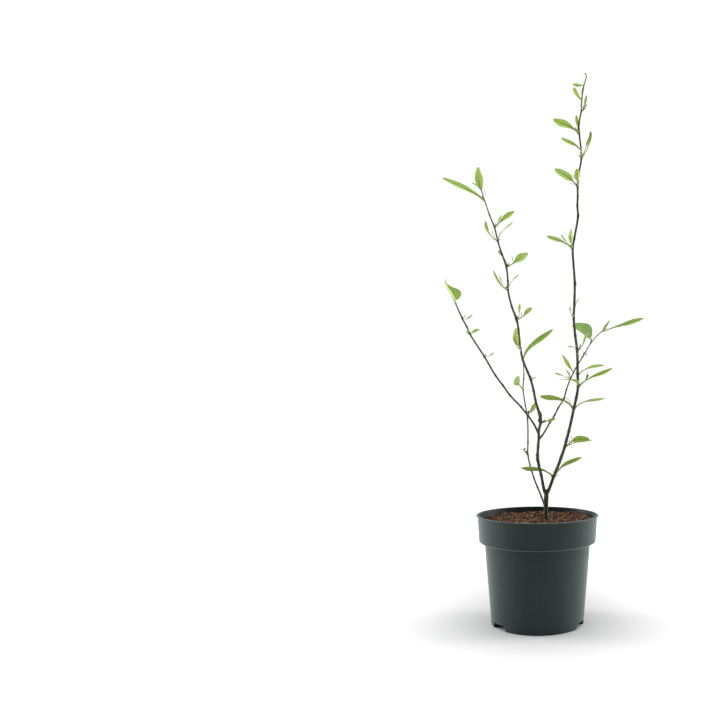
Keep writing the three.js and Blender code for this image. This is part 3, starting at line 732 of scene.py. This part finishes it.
def pot_finish():
    """Matt dark green moulded plastic, a little cloudy, with a fine grain. Its colour is painted paler
    towards its foot: painted light that stands in for the light thrown up onto the lower body from the floor.
    """
    finish, tree, shader = new_finish("moulded_plastic", (36, 44, 42), 0.45, 0.12)
    clouds = noise_over(tree, 26, 4.0, (1.0, 1.0, 0.35))
    tone = ramp(tree, clouds, [(0.3, (35, 44, 44)), (0.7, (41, 51, 51))])
    # Painted light: the base colour is mixed towards a paler green-grey from the body's top down to the foot,
    # in place of light bounced from the floor
    level = add_node(tree, "SeparateXYZ", {"Vector": own_place(tree)}).outputs["Z"]
    painted_bounce_share = spread(tree, level, (BODY_TOP_LEVEL * MM, 0), (0, POT_PAINTED_BOUNCE_LIGHT))
    painted_bounce_colour = mixed(tree, painted_bounce_share, tone, linear((62, 75, 74)))
    sheen = {"Sheen Weight": 0.38, "Sheen Tint": (0.8, 1.0, 0.98, 1), "Sheen Roughness": 0.4}
    feed(tree, shader, {"Base Color": painted_bounce_colour, **sheen})
    add_grain(tree, shader, clouds, (0.38, 0.5), noise_over(tree, 1400, 2.0), (0.12, 0.1))
    return finish


def bark_finish():
    """Dark young bark with pale pores, turning to a green skin where the limb is new. The mesh tells how
    young each place is, and where its pores are."""
    finish, tree, shader = new_finish("young_bark", (60, 54, 46), 0.75, 0.2)
    mottle = noise_over(tree, 420, 5.0, (1.0, 1.0, 0.3))
    tones = [(0.3, (43, 42, 32)), (0.47, (62, 60, 46)), (0.58, (77, 74, 56)), (0.75, (104, 99, 78))]
    bark = ramp(tree, mottle, tones)
    skin = ramp(tree, mottle, [(0.3, (92, 116, 66)), (0.7, (124, 150, 92))])
    young, pores = (
        add_node(tree, "Attribute", {}, attribute_name=name).outputs["Fac"] for name in ("young", "pores")
    )
    with_pores = mixed(tree, pores, bark, linear((122, 114, 94)))
    feed(tree, shader, {"Base Color": mixed(tree, young, with_pores, skin)})
    add_grain(tree, shader, mottle, (0.6, 0.85), noise_over(tree, 1500, 4.0, (1.0, 1.0, 0.4)), (0.6, 0.25))
    return finish


# The pot

def turned(name, profile, sides=POT_SIDES, forward=0):
    """A closed shape of revolution, from (radius, level) points that start and end on its axis, which lies
    forward of the pot's axis"""
    inner = [place for place in profile if place[0] > 0]
    points = [
        (radius * math.cos(a), radius * math.sin(a) - forward, level)
        for radius, level in inner
        for a in circle(sides)
    ]
    points += [(0, -forward, profile[0][1]), (0, -forward, profile[-1][1])]
    return put(name, mesh_of(name, points, ringed_faces(len(inner), sides)))


def arc(centre, radius, start, end, steps):
    """(radius, level) points round a corner, between two angles in degrees. radius may be a pair."""
    wide, high = radius if isinstance(radius, tuple) else (radius, radius)
    angles = np.radians(np.linspace(start, end, steps + 1))
    return [(centre[0] + wide * math.cos(a), centre[1] + high * math.sin(a)) for a in angles]


def pot_side(inset):
    """The outline of the pot's side, moved inwards by inset"""
    corner = (BAND_FOOT_RADIUS - BODY_TOP_RADIUS, BAND_FOOT_LEVEL - BODY_TOP_LEVEL)
    centre = (BODY_TOP_RADIUS - inset, BAND_FOOT_LEVEL + inset)
    return arc(centre, corner, -90, 0, 10)


def body_place(level):
    """A place on the sloping side of the pot's body"""
    share = (level - FOOT_ROUNDING) / (BODY_TOP_LEVEL - FOOT_ROUNDING)
    return FOOT_RADIUS + (BODY_TOP_RADIUS - FOOT_RADIUS) * share, level


def notch(extra):
    """A cutter for one drain notch, grown on all sides by extra"""
    foot = NOTCH_FOOT_WIDTH / 2 + extra
    roof = NOTCH_ROOF_WIDTH / 2 + extra
    top = NOTCH_HEIGHT + extra
    corner = arc((roof - NOTCH_ROUNDING, top - NOTCH_ROUNDING), NOTCH_ROUNDING, 15, 90, 6)
    right = [(foot, -CUT_MARGIN), (foot, 0)] + corner
    outline = right + [(-x, z) for x, z in reversed(right)]
    ends = (NOTCH_INNER_RADIUS - extra, BODY_TOP_RADIUS)
    points = [(x, -reach, z) for reach in ends for x, z in outline]
    size = len(outline)
    faces = [(i, (i + 1) % size, size + (i + 1) % size, size + i) for i in range(size)]
    faces += [tuple(reversed(range(size))), tuple(range(size, 2 * size))]
    return put("notch", mesh_of("notch", points, faces))


def drain_hole():
    """A cutter for the round hole through a notch's roof"""
    low, high = NOTCH_HEIGHT - CUT_MARGIN, NOTCH_HEIGHT + CUT_MARGIN
    profile = [(0, low), (DRAIN_RADIUS, low), (DRAIN_RADIUS, high), (0, high)]
    return turned("drain_hole", profile, DRAIN_SIDES, DRAIN_PLACE)


def cut(shape, cutters):
    """Takes the cutters away from a shape and removes them"""
    for cutter in cutters:
        change = shape.modifiers.new("cut", "BOOLEAN")
        change.object = cutter
        change.operation = "DIFFERENCE"
        change.solver = "EXACT"
    settle(shape)
    for cutter in cutters:
        bpy.data.objects.remove(cutter)


def cut_all_round(shape, make_cutter, *sizes):
    """Takes a cutter away from a shape at each of the notches"""
    cutters = [make_cutter(*sizes) for _ in NOTCH_ANGLES]
    for cutter, angle in zip(cutters, NOTCH_ANGLES):
        cutter.rotation_euler.z = math.radians(angle)
    cut(shape, cutters)


def settle(shape):
    """Makes the modifiers of a shape part of its mesh"""
    graph = bpy.context.evaluated_depsgraph_get()
    graph.update()
    shape.data = bpy.data.meshes.new_from_object(shape.evaluated_get(graph))
    shape.modifiers.clear()


def build_pot():
    foot = [(0, 0), (FOOT_RADIUS - FOOT_ROUNDING, 0)]
    foot += arc((FOOT_RADIUS - FOOT_ROUNDING, FOOT_ROUNDING), FOOT_ROUNDING, -60, 0, 4)
    lip_foot = POT_HEIGHT - LIP_HEIGHT
    lip = [(BAND_TOP_RADIUS, lip_foot - LIP_STEP[1]), (BAND_TOP_RADIUS + LIP_STEP[0], lip_foot)]
    lip += arc((LIP_RADIUS - LIP_ROUNDING, POT_HEIGHT - LIP_ROUNDING), LIP_ROUNDING, -60, 90, 8)
    rings = [body_place(NOTCH_HEIGHT + above) for above in BODY_RINGS]
    outside = turned("pot_shell", foot + rings + pot_side(0) + lip + [(0, POT_HEIGHT)])
    wall = POT_WALL
    hollow_foot = [(0, wall), (FOOT_RADIUS - wall - 1, wall), (FOOT_RADIUS - wall, wall + 1)]
    mouth_middle = (BAND_TOP_RADIUS - wall + MOUTH_ROUNDING, POT_HEIGHT - MOUTH_ROUNDING + MOUTH_RISE)
    mouth = arc(mouth_middle, MOUTH_ROUNDING, 180, 90, 5)
    mouth_top = [(mouth_middle[0], POT_HEIGHT + CUT_MARGIN), (0, POT_HEIGHT + CUT_MARGIN)]
    hollow = turned("pot_hollow", hollow_foot + pot_side(wall) + mouth + mouth_top)
    cut_all_round(outside, notch, 0)
    cut_all_round(hollow, notch, wall)
    cut(outside, [hollow])
    cut_all_round(outside, drain_hole)
    weld = outside.modifiers.new("weld", "WELD")
    weld.merge_threshold = WELD_REACH * MM
    rounding = outside.modifiers.new("rounding", "BEVEL")
    rounding.width = EDGE_ROUNDING * MM
    rounding.segments = 2
    rounding.limit_method = "ANGLE"
    rounding.angle_limit = math.radians(EDGE_ANGLE)
    settle(outside)
    mesh = outside.data
    bpy.data.objects.remove(outside)
    mesh.materials.clear()
    mesh.materials.append(pot_finish())
    place_piece("pot_shell", mesh, "pot_plastic", ["pot"], crease=35)


# The growing medium

def medium_level(x, y):
    """The level of the growing medium's top, as in the part's source"""
    broad = np.sin(x * 0.13 + 1.3) * np.cos(y * 0.11 - 0.4)
    fine = np.sin(x * 0.31 - y * 0.27)
    level = MEDIUM_LEVEL + MEDIUM_TILT * (x + y) + MEDIUM_LUMPS * (broad + 0.6 * fine)
    seat = LIMBS[0].places[0]
    share = smooth_step(np.hypot(x - seat[0], y - seat[1]), SEAT_RADIUS, 3 * SEAT_RADIUS)
    return MEDIUM_LEVEL + (level - MEDIUM_LEVEL) * share


def medium_radius():
    """The inside radius of the pot at the medium's level, less the clearance"""
    share = (MEDIUM_LEVEL - BAND_FOOT_LEVEL) / (POT_HEIGHT - LIP_HEIGHT - BAND_FOOT_LEVEL)
    return BAND_FOOT_RADIUS + (BAND_TOP_RADIUS - BAND_FOOT_RADIUS) * share - POT_WALL - CLEARANCE


def build_bed(finishes):
    """The body of the growing medium, with a finely lumpy top"""
    turn = circle(POT_SIDES)
    edge = medium_radius()
    floor = NOTCH_HEIGHT + POT_WALL + CLEARANCE
    profile = [(FOOT_RADIUS - POT_WALL - 2 * CLEARANCE, floor)] + pot_side(POT_WALL + CLEARANCE)
    rings = []
    for radius, level in profile:
        around = [radius * np.cos(turn), radius * np.sin(turn)]
        rings.append(np.column_stack(around + [np.full(POT_SIDES, level)]))
    for radius in np.linspace(edge, edge / BED_RINGS, BED_RINGS):
        x, y = radius * np.cos(turn), radius * np.sin(turn)
        z = medium_level(x, y)
        for shift, (scale, rise) in enumerate((BED_LUMPS, BED_CRUMBS)):
            z = z + rise * noise_at(x * scale, y * scale, 9.0 * shift)
        rings.append(np.column_stack([x, y, z - BED_DROP]))
    ends = [[0, 0, floor], [0, 0, rings[-1][:, 2].mean()]]
    pile = Pile()
    pile.add(np.vstack(rings + [ends]), ringed_faces(len(rings), POT_SIDES), "coir_dark")
    pile.place("coir_bed", finishes, "moist_coir", ["growing_medium"])


def chip_shape(rng, length, width, height):
    """A torn flat chip with eight uneven corners"""
    corners = []
    for z in (-1, 1):
        for x, y in ((-1, -1), (1, -1), (1, 1), (-1, 1)):
            sizes = (x * length, y * width, z * height)
            corners.append([size * rng.uniform(0.55, 1.1) / 2 for size in sizes])
    faces = [(3, 2, 1, 0), (4, 5, 6, 7), (0, 1, 5, 4), (1, 2, 6, 5), (2, 3, 7, 6), (3, 0, 4, 7)]
    return np.array(corners), faces


def tilt(points, heading, pitch, roll):
    """Points rolled about their length, pitched up and turned to a heading"""
    for angle, a, b in ((roll, 1, 2), (pitch, 0, 2), (heading, 0, 1)):
        turn = np.eye(3)
        turn[a, a] = turn[b, b] = math.cos(angle)
        turn[a, b] = math.sin(angle)
        turn[b, a] = -math.sin(angle)
        points = points @ turn
    return points


def random_spot(rng, edge):
    radius = edge * math.sqrt(rng.random())
    angle = rng.uniform(0, 2 * math.pi)
    return radius * math.cos(angle), radius * math.sin(angle)


def build_chips(finishes):
    """Chips and crumbs of coir that lie on the bed and against each other"""
    rng = random.Random(SEED)
    pile = Pile()
    for _ in range(CHIP_COUNT):
        length = rng.uniform(*CHIP_LENGTHS) * rng.uniform(0.6, 1)
        points, faces = chip_shape(rng, length, rng.uniform(*CHIP_WIDTHS), rng.uniform(*CHIP_HEIGHTS))
        points = tilt(points, rng.uniform(0, 2 * math.pi), rng.gauss(0, CHIP_PITCH), rng.gauss(0, CHIP_ROLL))
        x, y = random_spot(rng, medium_radius() - 0.6 * length)
        level = medium_level(x, y) + rng.uniform(*CHIP_RISES)
        tint = rng.choices(list(COIR_TINTS), weights=CHIP_SHARES)[0]
        pile.add(points + np.array([x, y, level]), faces, tint)
    pile.place("coir_chips", finishes, "moist_coir", ["growing_medium"], crease=25)


def build_fibres(finishes):
    """Loose coir fibres, bent and lying over the chips"""
    rng = random.Random(SEED + 1)
    pile = Pile()
    for _ in range(FIBRE_COUNT):
        length = rng.uniform(*FIBRE_LENGTHS)
        heading = rng.uniform(0, 2 * math.pi)
        x, y = random_spot(rng, medium_radius() - 1.5)
        places = []
        for step in range(FIBRE_STEPS):
            arch = math.sin(math.pi * (step + 0.6) / FIBRE_STEPS)
            places.append((x, y, medium_level(x, y) + rng.uniform(*FIBRE_RISES) * arch + 0.2))
            heading += rng.gauss(0, FIBRE_BEND)
            x += math.cos(heading) * length / FIBRE_STEPS
            y += math.sin(heading) * length / FIBRE_STEPS
        if max(math.hypot(px, py) for px, py, _ in places) > medium_radius() - 0.5:
            continue
        along = np.linspace(0, 1, 10)
        radii = rng.uniform(*FIBRE_RADII) * np.sin(math.pi * (0.15 + 0.7 * along))
        tint = rng.choices(list(COIR_TINTS), weights=FIBRE_SHARES)[0]
        pile.add(*tube(curve_through(places), along, radii, 4, UP), tint)
    pile.place("coir_fibres", finishes, "moist_coir", ["growing_medium"])


# The limbs

def run_at(limb, along):
    """How far along a limb a place from 0 to 1 lies"""
    last = len(limb.buds) - 1
    return np.interp(along, np.arange(last + 1) / last, limb.runs)


def radius_at(limb, along):
    """The radius of a limb at a place from 0 to 1, as in the part's source"""
    run = run_at(limb, along)
    even = limb.tip + (limb.foot - limb.tip) * (1 - run / limb.runs[-1]) ** LIMB_TAPER
    return (even + limb.swell * np.exp(-run / SWELL_REACH)) / 2


def limb_radii(limb, along, seed):
    """The radius of each point of a limb's rings, with the bark's relief, its nodes and its scars, how much
    of a pore lies at each point, and how young each ring is"""
    run = run_at(limb, along)
    middle, across, upper = frames_on(limb.curve, along, BACK)
    turn = circle(STEM_SIDES)

    def relief(round_scale, along_scale, shift):
        """Noise with so many features round the limb and along it"""
        level = run * along_scale + seed + shift
        return noise_at(np.cos(turn) * round_scale, np.sin(turn) * round_scale, level[:, None])

    swells = relief(*BARK_SWELLS)
    ridges = relief(*BARK_RIDGES)
    young = smooth_step(middle[:, 2], *limb.young)[:, None]
    old = 1 - 0.85 * young
    pores = smooth_step(relief(*BARK_PORES), *PORE_RANGE)
    base = np.repeat(radius_at(limb, along)[:, None], STEM_SIDES, axis=1)
    radii = base * (1 + old * (SWELL_RISE * swells + RIDGE_RISE * ridges)) + PORE_RISE * pores * old
    for place in limb.runs[2:]:
        away = run - place
        rim = round_bump(away, NODE_REACH) + RING_SHARE * round_bump(away + RING_DROP, RING_REACH)
        radii += NODE_SWELL * (0.55 + 0.45 * base / base.max()) * rim[:, None]
    outward = spokes(across, upper, STEM_SIDES)
    for mark in limb.scars:
        facing = np.clip((outward * mark.side).sum(axis=2), 0, 1) ** 1.6
        lips = round_bump(middle[:, 2] - mark.level, mark.length)[:, None]
        radii += mark.rise * facing * lips * (1 + 0.5 * swells)
    return radii, pores * old, young


def stub_on(limb, mark):
    """The cut end of an old twig that stands on a scar, leaning up"""
    levels = limb.curve.at(np.linspace(0, 1, 400))[0][:, 2]
    along = np.array([np.abs(levels - mark.level).argmin() / 399])
    middle, radius = limb.curve.at(along)[0][0], radius_at(limb, along)[0]
    start = middle + mark.side * radius * 0.4
    tip = start + (mark.side * 0.55 + UP * 0.85) * mark.stub
    bend = (start + tip) / 2 + mark.side * 0.3
    widths = (0.42 * radius + 0.15) * np.array(STUB_WIDTHS)
    return tube(curve_through([start, bend, tip]), np.linspace(0, 1, len(widths)), widths, 8)


def build_limb(limb, finish, seed):
    """One limb as a tube with the relief of its bark"""
    along = np.linspace(0, 1, int(limb.runs[-1] / STEM_STEP) + 1)
    radii, pores, young = limb_radii(limb, along, seed)
    pile = Pile()
    pile.add(*tube(limb.curve, along, radii, STEM_SIDES), "bark")
    for mark in limb.scars:
        if mark.stub:
            pile.add(*stub_on(limb, mark), "bark")
    rest = pile.count - pores.size - 2
    youth = np.concatenate([np.repeat(young[:, 0], STEM_SIDES), young[0], young[-1], np.zeros(rest)])
    spots = np.concatenate([pores.reshape(-1), np.zeros(2 + rest)])
    name = limb.name + "_bark"
    mesh = pile.mesh(name, {"bark": finish})
    for attribute, values in (("young", youth), ("pores", spots)):
        mesh.attributes.new(attribute, "FLOAT", "POINT").data.foreach_set("value", values)
    place_piece(name, mesh, "bark", [limb.name], crease=60)


# The leaves

def seeded_numbers(seed):
    """Numbers from 0 to 1, the same as the part's source draws"""
    state = seed
    while True:
        state = (state * 1664525 + 1013904223) % 4294967296
        yield state / 4294967296


def blade_outline(share, shape):
    """The half width of a blade at a share of its length, where the widest half width is 1"""
    evened = np.clip(share, 0, 1) ** (math.log(0.5) / math.log(shape.widest))
    fullness = np.where(share < shape.widest, shape.wedge, shape.blunt)
    return np.maximum(0.02, np.sin(math.pi * evened) ** fullness)


def blade_faces(rows, wide, side, tint):
    """Faces and tints of a blade's upper and lower sheets and of the rim that joins them"""
    count = rows * wide
    faces, tints = [], []
    for row in range(rows - 1):
        on_vein = row % len(VEIN_ROWS) in (0, len(VEIN_ROWS) - 1)
        for column in range(wide - 1):
            a = row * wide + column
            is_rib = max(side[column], side[column + 1]) < 0.1
            kind = "_rib" if is_rib else "_vein" if on_vein else ""
            faces.append((a, a + 1, a + wide + 1, a + wide))
            faces.append((count + a, count + a + wide, count + a + wide + 1, count + a + 1))
            tints += [tint + kind, tint + ("_rib" if kind else "_under")]
    grid = np.arange(count).reshape(rows, wide).tolist()
    right, left = [row[-1] for row in grid[1:-1]], [row[0] for row in grid[-2:0:-1]]
    rim = grid[0] + right + grid[-1][::-1] + left
    faces += [(b, a, count + a, count + b) for a, b in zip(rim, rim[1:] + rim[:1])]
    return faces, tints + [tint] * len(rim)


def add_blade(pile, spine, shape, veins, rng):
    """A blade with a closed thin body. Its rows run out along the side veins, which are sunk and paler."""
    half_columns = np.array(BLADE_COLUMNS)
    columns = np.concatenate([-half_columns[:0:-1], half_columns])
    rows = np.array([(vein + place) / veins for vein in range(veins) for place in VEIN_ROWS] + [1.0])
    u, v = np.meshgrid(rows, columns, indexing="ij")
    side = np.abs(v)
    on_blade = u + VEIN_SWEEP * side**1.1 * np.sin(math.pi * u) * (1 - 0.4 * u)
    on_spine = shape.stalk + (1 - shape.stalk) * on_blade
    middle, across, upper = frames_on(spine, on_spine.reshape(-1), UP)
    foot, tip = spine.places
    roll = math.radians(-shape.turn if tip[0] < foot[0] else shape.turn)
    twist = roll + rng.uniform(-BLADE_TWIST, BLADE_TWIST) * (on_blade.reshape(-1, 1) - 0.5)
    sine, cosine = np.sin(twist), np.cos(twist)
    across, upper = across * cosine + upper * sine, upper * cosine - across * sine
    half = shape.width / 2 * blade_outline(on_blade, shape)
    phase = rng.uniform(0, 2 * math.pi)
    waves = np.sin(2 * math.pi * EDGE_WAVES * on_blade + phase + 1.3 * np.sign(v))
    between = 1 - np.cos(2 * math.pi * u * veins)
    quilt = VEIN_RISE * between * (1 - side**3) * np.sin(math.pi * u)
    lift = half * (shape.fold * side**1.15 + EDGE_WAVE_RISE * side**2 * waves + quilt)
    thick = BLADE_THICKNESS * (1 - 0.45 * side) * (1 - 0.4 * u)
    middle = middle + across * (v * half).reshape(-1, 1)
    top = middle + upper * (lift + thick / 2).reshape(-1, 1)
    bottom = middle + upper * (lift - thick / 2).reshape(-1, 1)
    pile.add(np.vstack([top, bottom]), *blade_faces(len(rows), len(columns), side[0], shape.tint))


def add_stalk(pile, spine, shape):
    """A leaf's stalk, which runs on under its blade as the midrib"""
    start = max(shape.stalk, STALK_FLARE_REACH)
    along = np.concatenate([np.linspace(0, start, 7), np.linspace(start, RIB_END, 17)[1:]])
    size = min(1.0, 0.45 + shape.width / 16)
    flare = STALK_FLARE * np.exp(-along / STALK_FLARE_REACH)
    thinning = np.clip((along - start) / (1 - start), 0, 1)
    radii = STALK_RADIUS * size * shape.stout * (1 + flare) * (1 - 0.85 * thinning**0.35)
    middle, _, upper = frames_on(spine, along, UP)
    sunk = curve_through(middle - upper * np.where(along > start, radii, 0)[:, None])
    points, faces = tube(sunk, np.linspace(0, 1, len(along)), radii, STALK_SIDES, UP)
    tints = ["stalk_foot"] * STALK_SIDES + ["stalk"] * STALK_SIDES * (len(along) - 2)
    pile.add(points, faces, tints + ["stalk_foot", "stalk"] * STALK_SIDES)


def grow(piles, foot, tip, shape, rng):
    """One leaf with its stalk, or one small scale, which is folded like a boat"""
    spine = spine_of(shape, foot, tip)
    if shape.kind == "sheaths":
        add_blade(piles["sheaths"], spine, shape, SHEATH_VEINS, rng)
        return
    length = np.linalg.norm(tip - foot)
    veins = next(count for least, count in VEIN_COUNTS if length > least)
    add_blade(piles["leaves"], spine, shape, veins, rng)
    add_stalk(piles["stalks"], spine, shape)


def add_spur(pile, curve, foot_radius, is_tip):
    """The short spur that bears the leaves of a bud, with the rings of its old scales, or the smooth new
    shoot at a limb's end"""
    along = np.linspace(0, 1, 28 if is_tip else 18)
    tip_radius = SHOOT_TIP_RADIUS if is_tip else SPUR_TIP_RADIUS
    rims = 0 if is_tip else 0.1 * np.sin(along * 2 * math.pi * 4)
    radii = (foot_radius + (tip_radius - foot_radius) * along) * (1 + rims)
    pile.add(*tube(curve, along, radii, 12), "shoot" if is_tip else "spur")


def source_scale(shape, numbers, rng):
    """The scale beside a bud's first leaf, at the place that the part's source draws for it"""
    heading = shape.reach / np.linalg.norm(shape.reach) * SCALE_LENGTH * (0.8 + 0.4 * next(numbers))
    turn = (next(numbers) - 0.5) * SCALE_SPREAD
    x = heading[0] * math.cos(turn) - heading[1] * math.sin(turn)
    y = heading[0] * math.sin(turn) + heading[1] * math.cos(turn)
    z = SCALE_LENGTH * (0.3 + 0.6 * next(numbers))
    return sheath(x, y, z, SCALE_WIDTH, rng.choice(list(SHEATH_TINTS)))


def build_mass(limb, place, piles, source_numbers, rng):
    """All that has grown from one bud, as in the part's source"""
    one = limb.buds[place]
    start = one.place
    last = len(limb.buds) - 1
    is_tip = place == last
    radius = radius_at(limb, np.array([place / last]))[0]
    curve = None
    if one.bends:
        curve = curve_through([start] + [start + spot(*bend) for bend in one.bends])
        add_spur(piles["stalks"], curve, radius if is_tip else SPUR_FOOT_RADIUS, is_tip)

    def foot_of(shape):
        if shape.start:
            return start + spot(*shape.start)
        if shape.kind == "sheaths":
            toward = shape.reach / np.linalg.norm(shape.reach)
            return curve.middle(SHEATH_FOOT_SHARE) if curve else start + toward * radius * 0.7
        if curve:
            return curve.middle(max(shape.at, 0.1) if is_tip else LEAF_FOOT_SHARE)
        outward = shape.reach * (1, 1, 0)
        return start + outward / np.linalg.norm(outward) * (radius - FOOT_DEPTH)

    for shape in one.leaves:
        grow(piles, foot_of(shape), start + shape.reach, shape, rng)
    if one.leaves:
        first = one.leaves[0]
        scale = source_scale(first, source_numbers, rng)
        foot = foot_of(first)
        grow(piles, foot, foot + scale.reach, scale, rng)
    for scale in one.sheaths:
        grow(piles, foot_of(scale), start + scale.reach, scale, rng)


def build_leaves(limb, finishes, source_numbers, rng):
    """The leaves, stalks and scales of one limb, each kind as one piece"""
    piles = {"leaves": Pile(), "stalks": Pile(), "sheaths": Pile()}
    nodes = []
    for place, one in enumerate(limb.buds):
        build_mass(limb, place, piles, source_numbers, rng)
        if one.leaves:
            nodes.append(f"{limb.name}_leaves_{len(nodes) + 1}")
    for kind, pile in piles.items():
        if pile.count:
            pile.place(f"{limb.name}_{kind}", finishes, "leaf", nodes, crease=50)


def shaded(colour, share, towards):
    """A colour moved by a share towards another"""
    return tuple(value + (goal - value) * share for value, goal in zip(colour, towards))


def plant_finishes():
    """The finish of each tint of the leaves, stalks and scales, and of each part of their blades"""
    finishes = {tint: grained_finish(tint, colour, *LEAF_GRAIN) for tint, colour in STALK_TINTS.items()}
    for part, share, towards in BLADE_PARTS:
        for tint, colour in LEAF_TINTS.items():
            moved = shaded(colour, share, towards)
            finishes[tint + part] = grained_finish("leaf_" + tint + part, moved, *LEAF_GRAIN)
    for tint, colour in SHEATH_TINTS.items():
        papery = grained_finish("sheath_" + tint, colour, *SHEATH_GRAIN)
        for part, _, _ in BLADE_PARTS:
            finishes["sheath_" + tint + part] = papery
    return finishes


# The room

def build_camera():
    lens = bpy.data.cameras.new("camera")
    lens.lens = CAMERA_LENS
    lens.sensor_width = 36
    lens.shift_x = (PHOTO_SIZE / 2 - AXIS_COLUMN) / PHOTO_SIZE
    lens.shift_y = (HORIZON_ROW - PHOTO_SIZE / 2) / PHOTO_SIZE
    lens.clip_start = 0.05
    lens.clip_end = 50
    camera = put("camera", lens)
    camera.location = CAMERA_PLACE
    camera.rotation_euler = (math.pi / 2, 0, 0)
    bpy.context.scene.camera = camera


def build_floor():
    """A pale floor with a painted shadow: it is less pale close round the pot, where the side lights fall on
    it too, which evens out their extra light there and darkens the floor as the pot's shadow.
    """
    corners = [(FLOOR_REACH * x, FLOOR_REACH * y, 0) for x, y in ((-1, -1), (1, -1), (1, 1), (-1, 1))]
    mesh = mesh_of("floor", corners, [(0, 1, 2, 3)])
    finish, tree, shader = new_finish("pale_floor_painted_shadow", (255, 255, 255), 0.9, 0.0)
    # Painted shadow: the floor's colour darkens within an oval round the pot
    painted_shadow_oval = {"Vector": own_place(tree), "Location": (0, -0.1, 0), "Scale": (1.4, 1, 1)}
    around = add_node(tree, "Mapping", painted_shadow_oval).outputs["Vector"]
    away = add_node(tree, "VectorMath", {"Vector": around}, operation="LENGTH").outputs["Value"]
    share = spread(tree, away, FLOOR_PAINTED_SHADOW_RANGE, FLOOR_PAINTED_SHADOW_TONES)
    tone = add_node(tree, "CombineColor", {"Red": share, "Green": share, "Blue": share})
    feed(tree, shader, {"Base Color": tone.outputs["Color"]})
    mesh.materials.append(finish)
    floor = put("floor", mesh)


def side_light(name, hand):
    """A large soft light that faces the plant, on the right or, where hand is -1, on the left"""
    lamp = bpy.data.lights.new(name, "AREA")
    lamp.shape = "RECTANGLE"
    lamp.size, lamp.size_y = SIDE_SIZE
    lamp.energy = SIDE_POWER
    light = put(name, lamp)
    light.location = (hand * SIDE_PLACE[0], *SIDE_PLACE[1:])
    light.rotation_euler = (Vector(LIGHT_TARGET) - light.location).to_track_quat("-Z", "Y").to_euler()
    light.visible_camera = False


def build_light():
    """An even white room that is dark where the camera stands, with a soft light on each side and above"""
    world = bpy.data.worlds.new("room")
    world.use_nodes = True
    tree = world.node_tree
    toward_back = add_node(tree, "SeparateXYZ", {"Vector": own_place(tree, "Generated")}).outputs["Y"]
    room = spread(tree, toward_back, ROOM_RANGE, ROOM_LIGHT, interpolation_type="SMOOTHSTEP")
    is_seen = add_node(tree, "LightPath", {}).outputs["Is Camera Ray"]
    seen = add_node(tree, "Mix", {"Factor": is_seen, "A": room, "B": ROOM_SEEN})
    feed(tree, tree.nodes["Background"], {"Color": (1, 1, 1, 1), "Strength": seen.outputs["Result"]})
    bpy.context.scene.world = world
    side_light("left_light", -1)
    side_light("right_light", 1)
    lamp = bpy.data.lights.new("top_light", "SUN")
    lamp.energy = TOP_STRENGTH
    lamp.angle = math.radians(TOP_SPREAD)
    put("top_light", lamp)
    bpy.context.scene.view_settings.view_transform = "Standard"


def main():
    build_camera()
    build_floor()
    build_light()
    coir = {tint: grained_finish(tint, colour, *COIR_GRAIN) for tint, colour in COIR_TINTS.items()}
    build_pot()
    build_bed(coir)
    build_chips(coir)
    build_fibres(coir)
    bark = bark_finish()
    finishes = plant_finishes()
    source_numbers = seeded_numbers(SEED)
    rng = random.Random(SEED)
    for index, limb in enumerate(LIMBS):
        limb.curve = curve_through(limb.places)
        build_limb(limb, bark, 17.0 * index)
        build_leaves(limb, finishes, source_numbers, rng)


main()
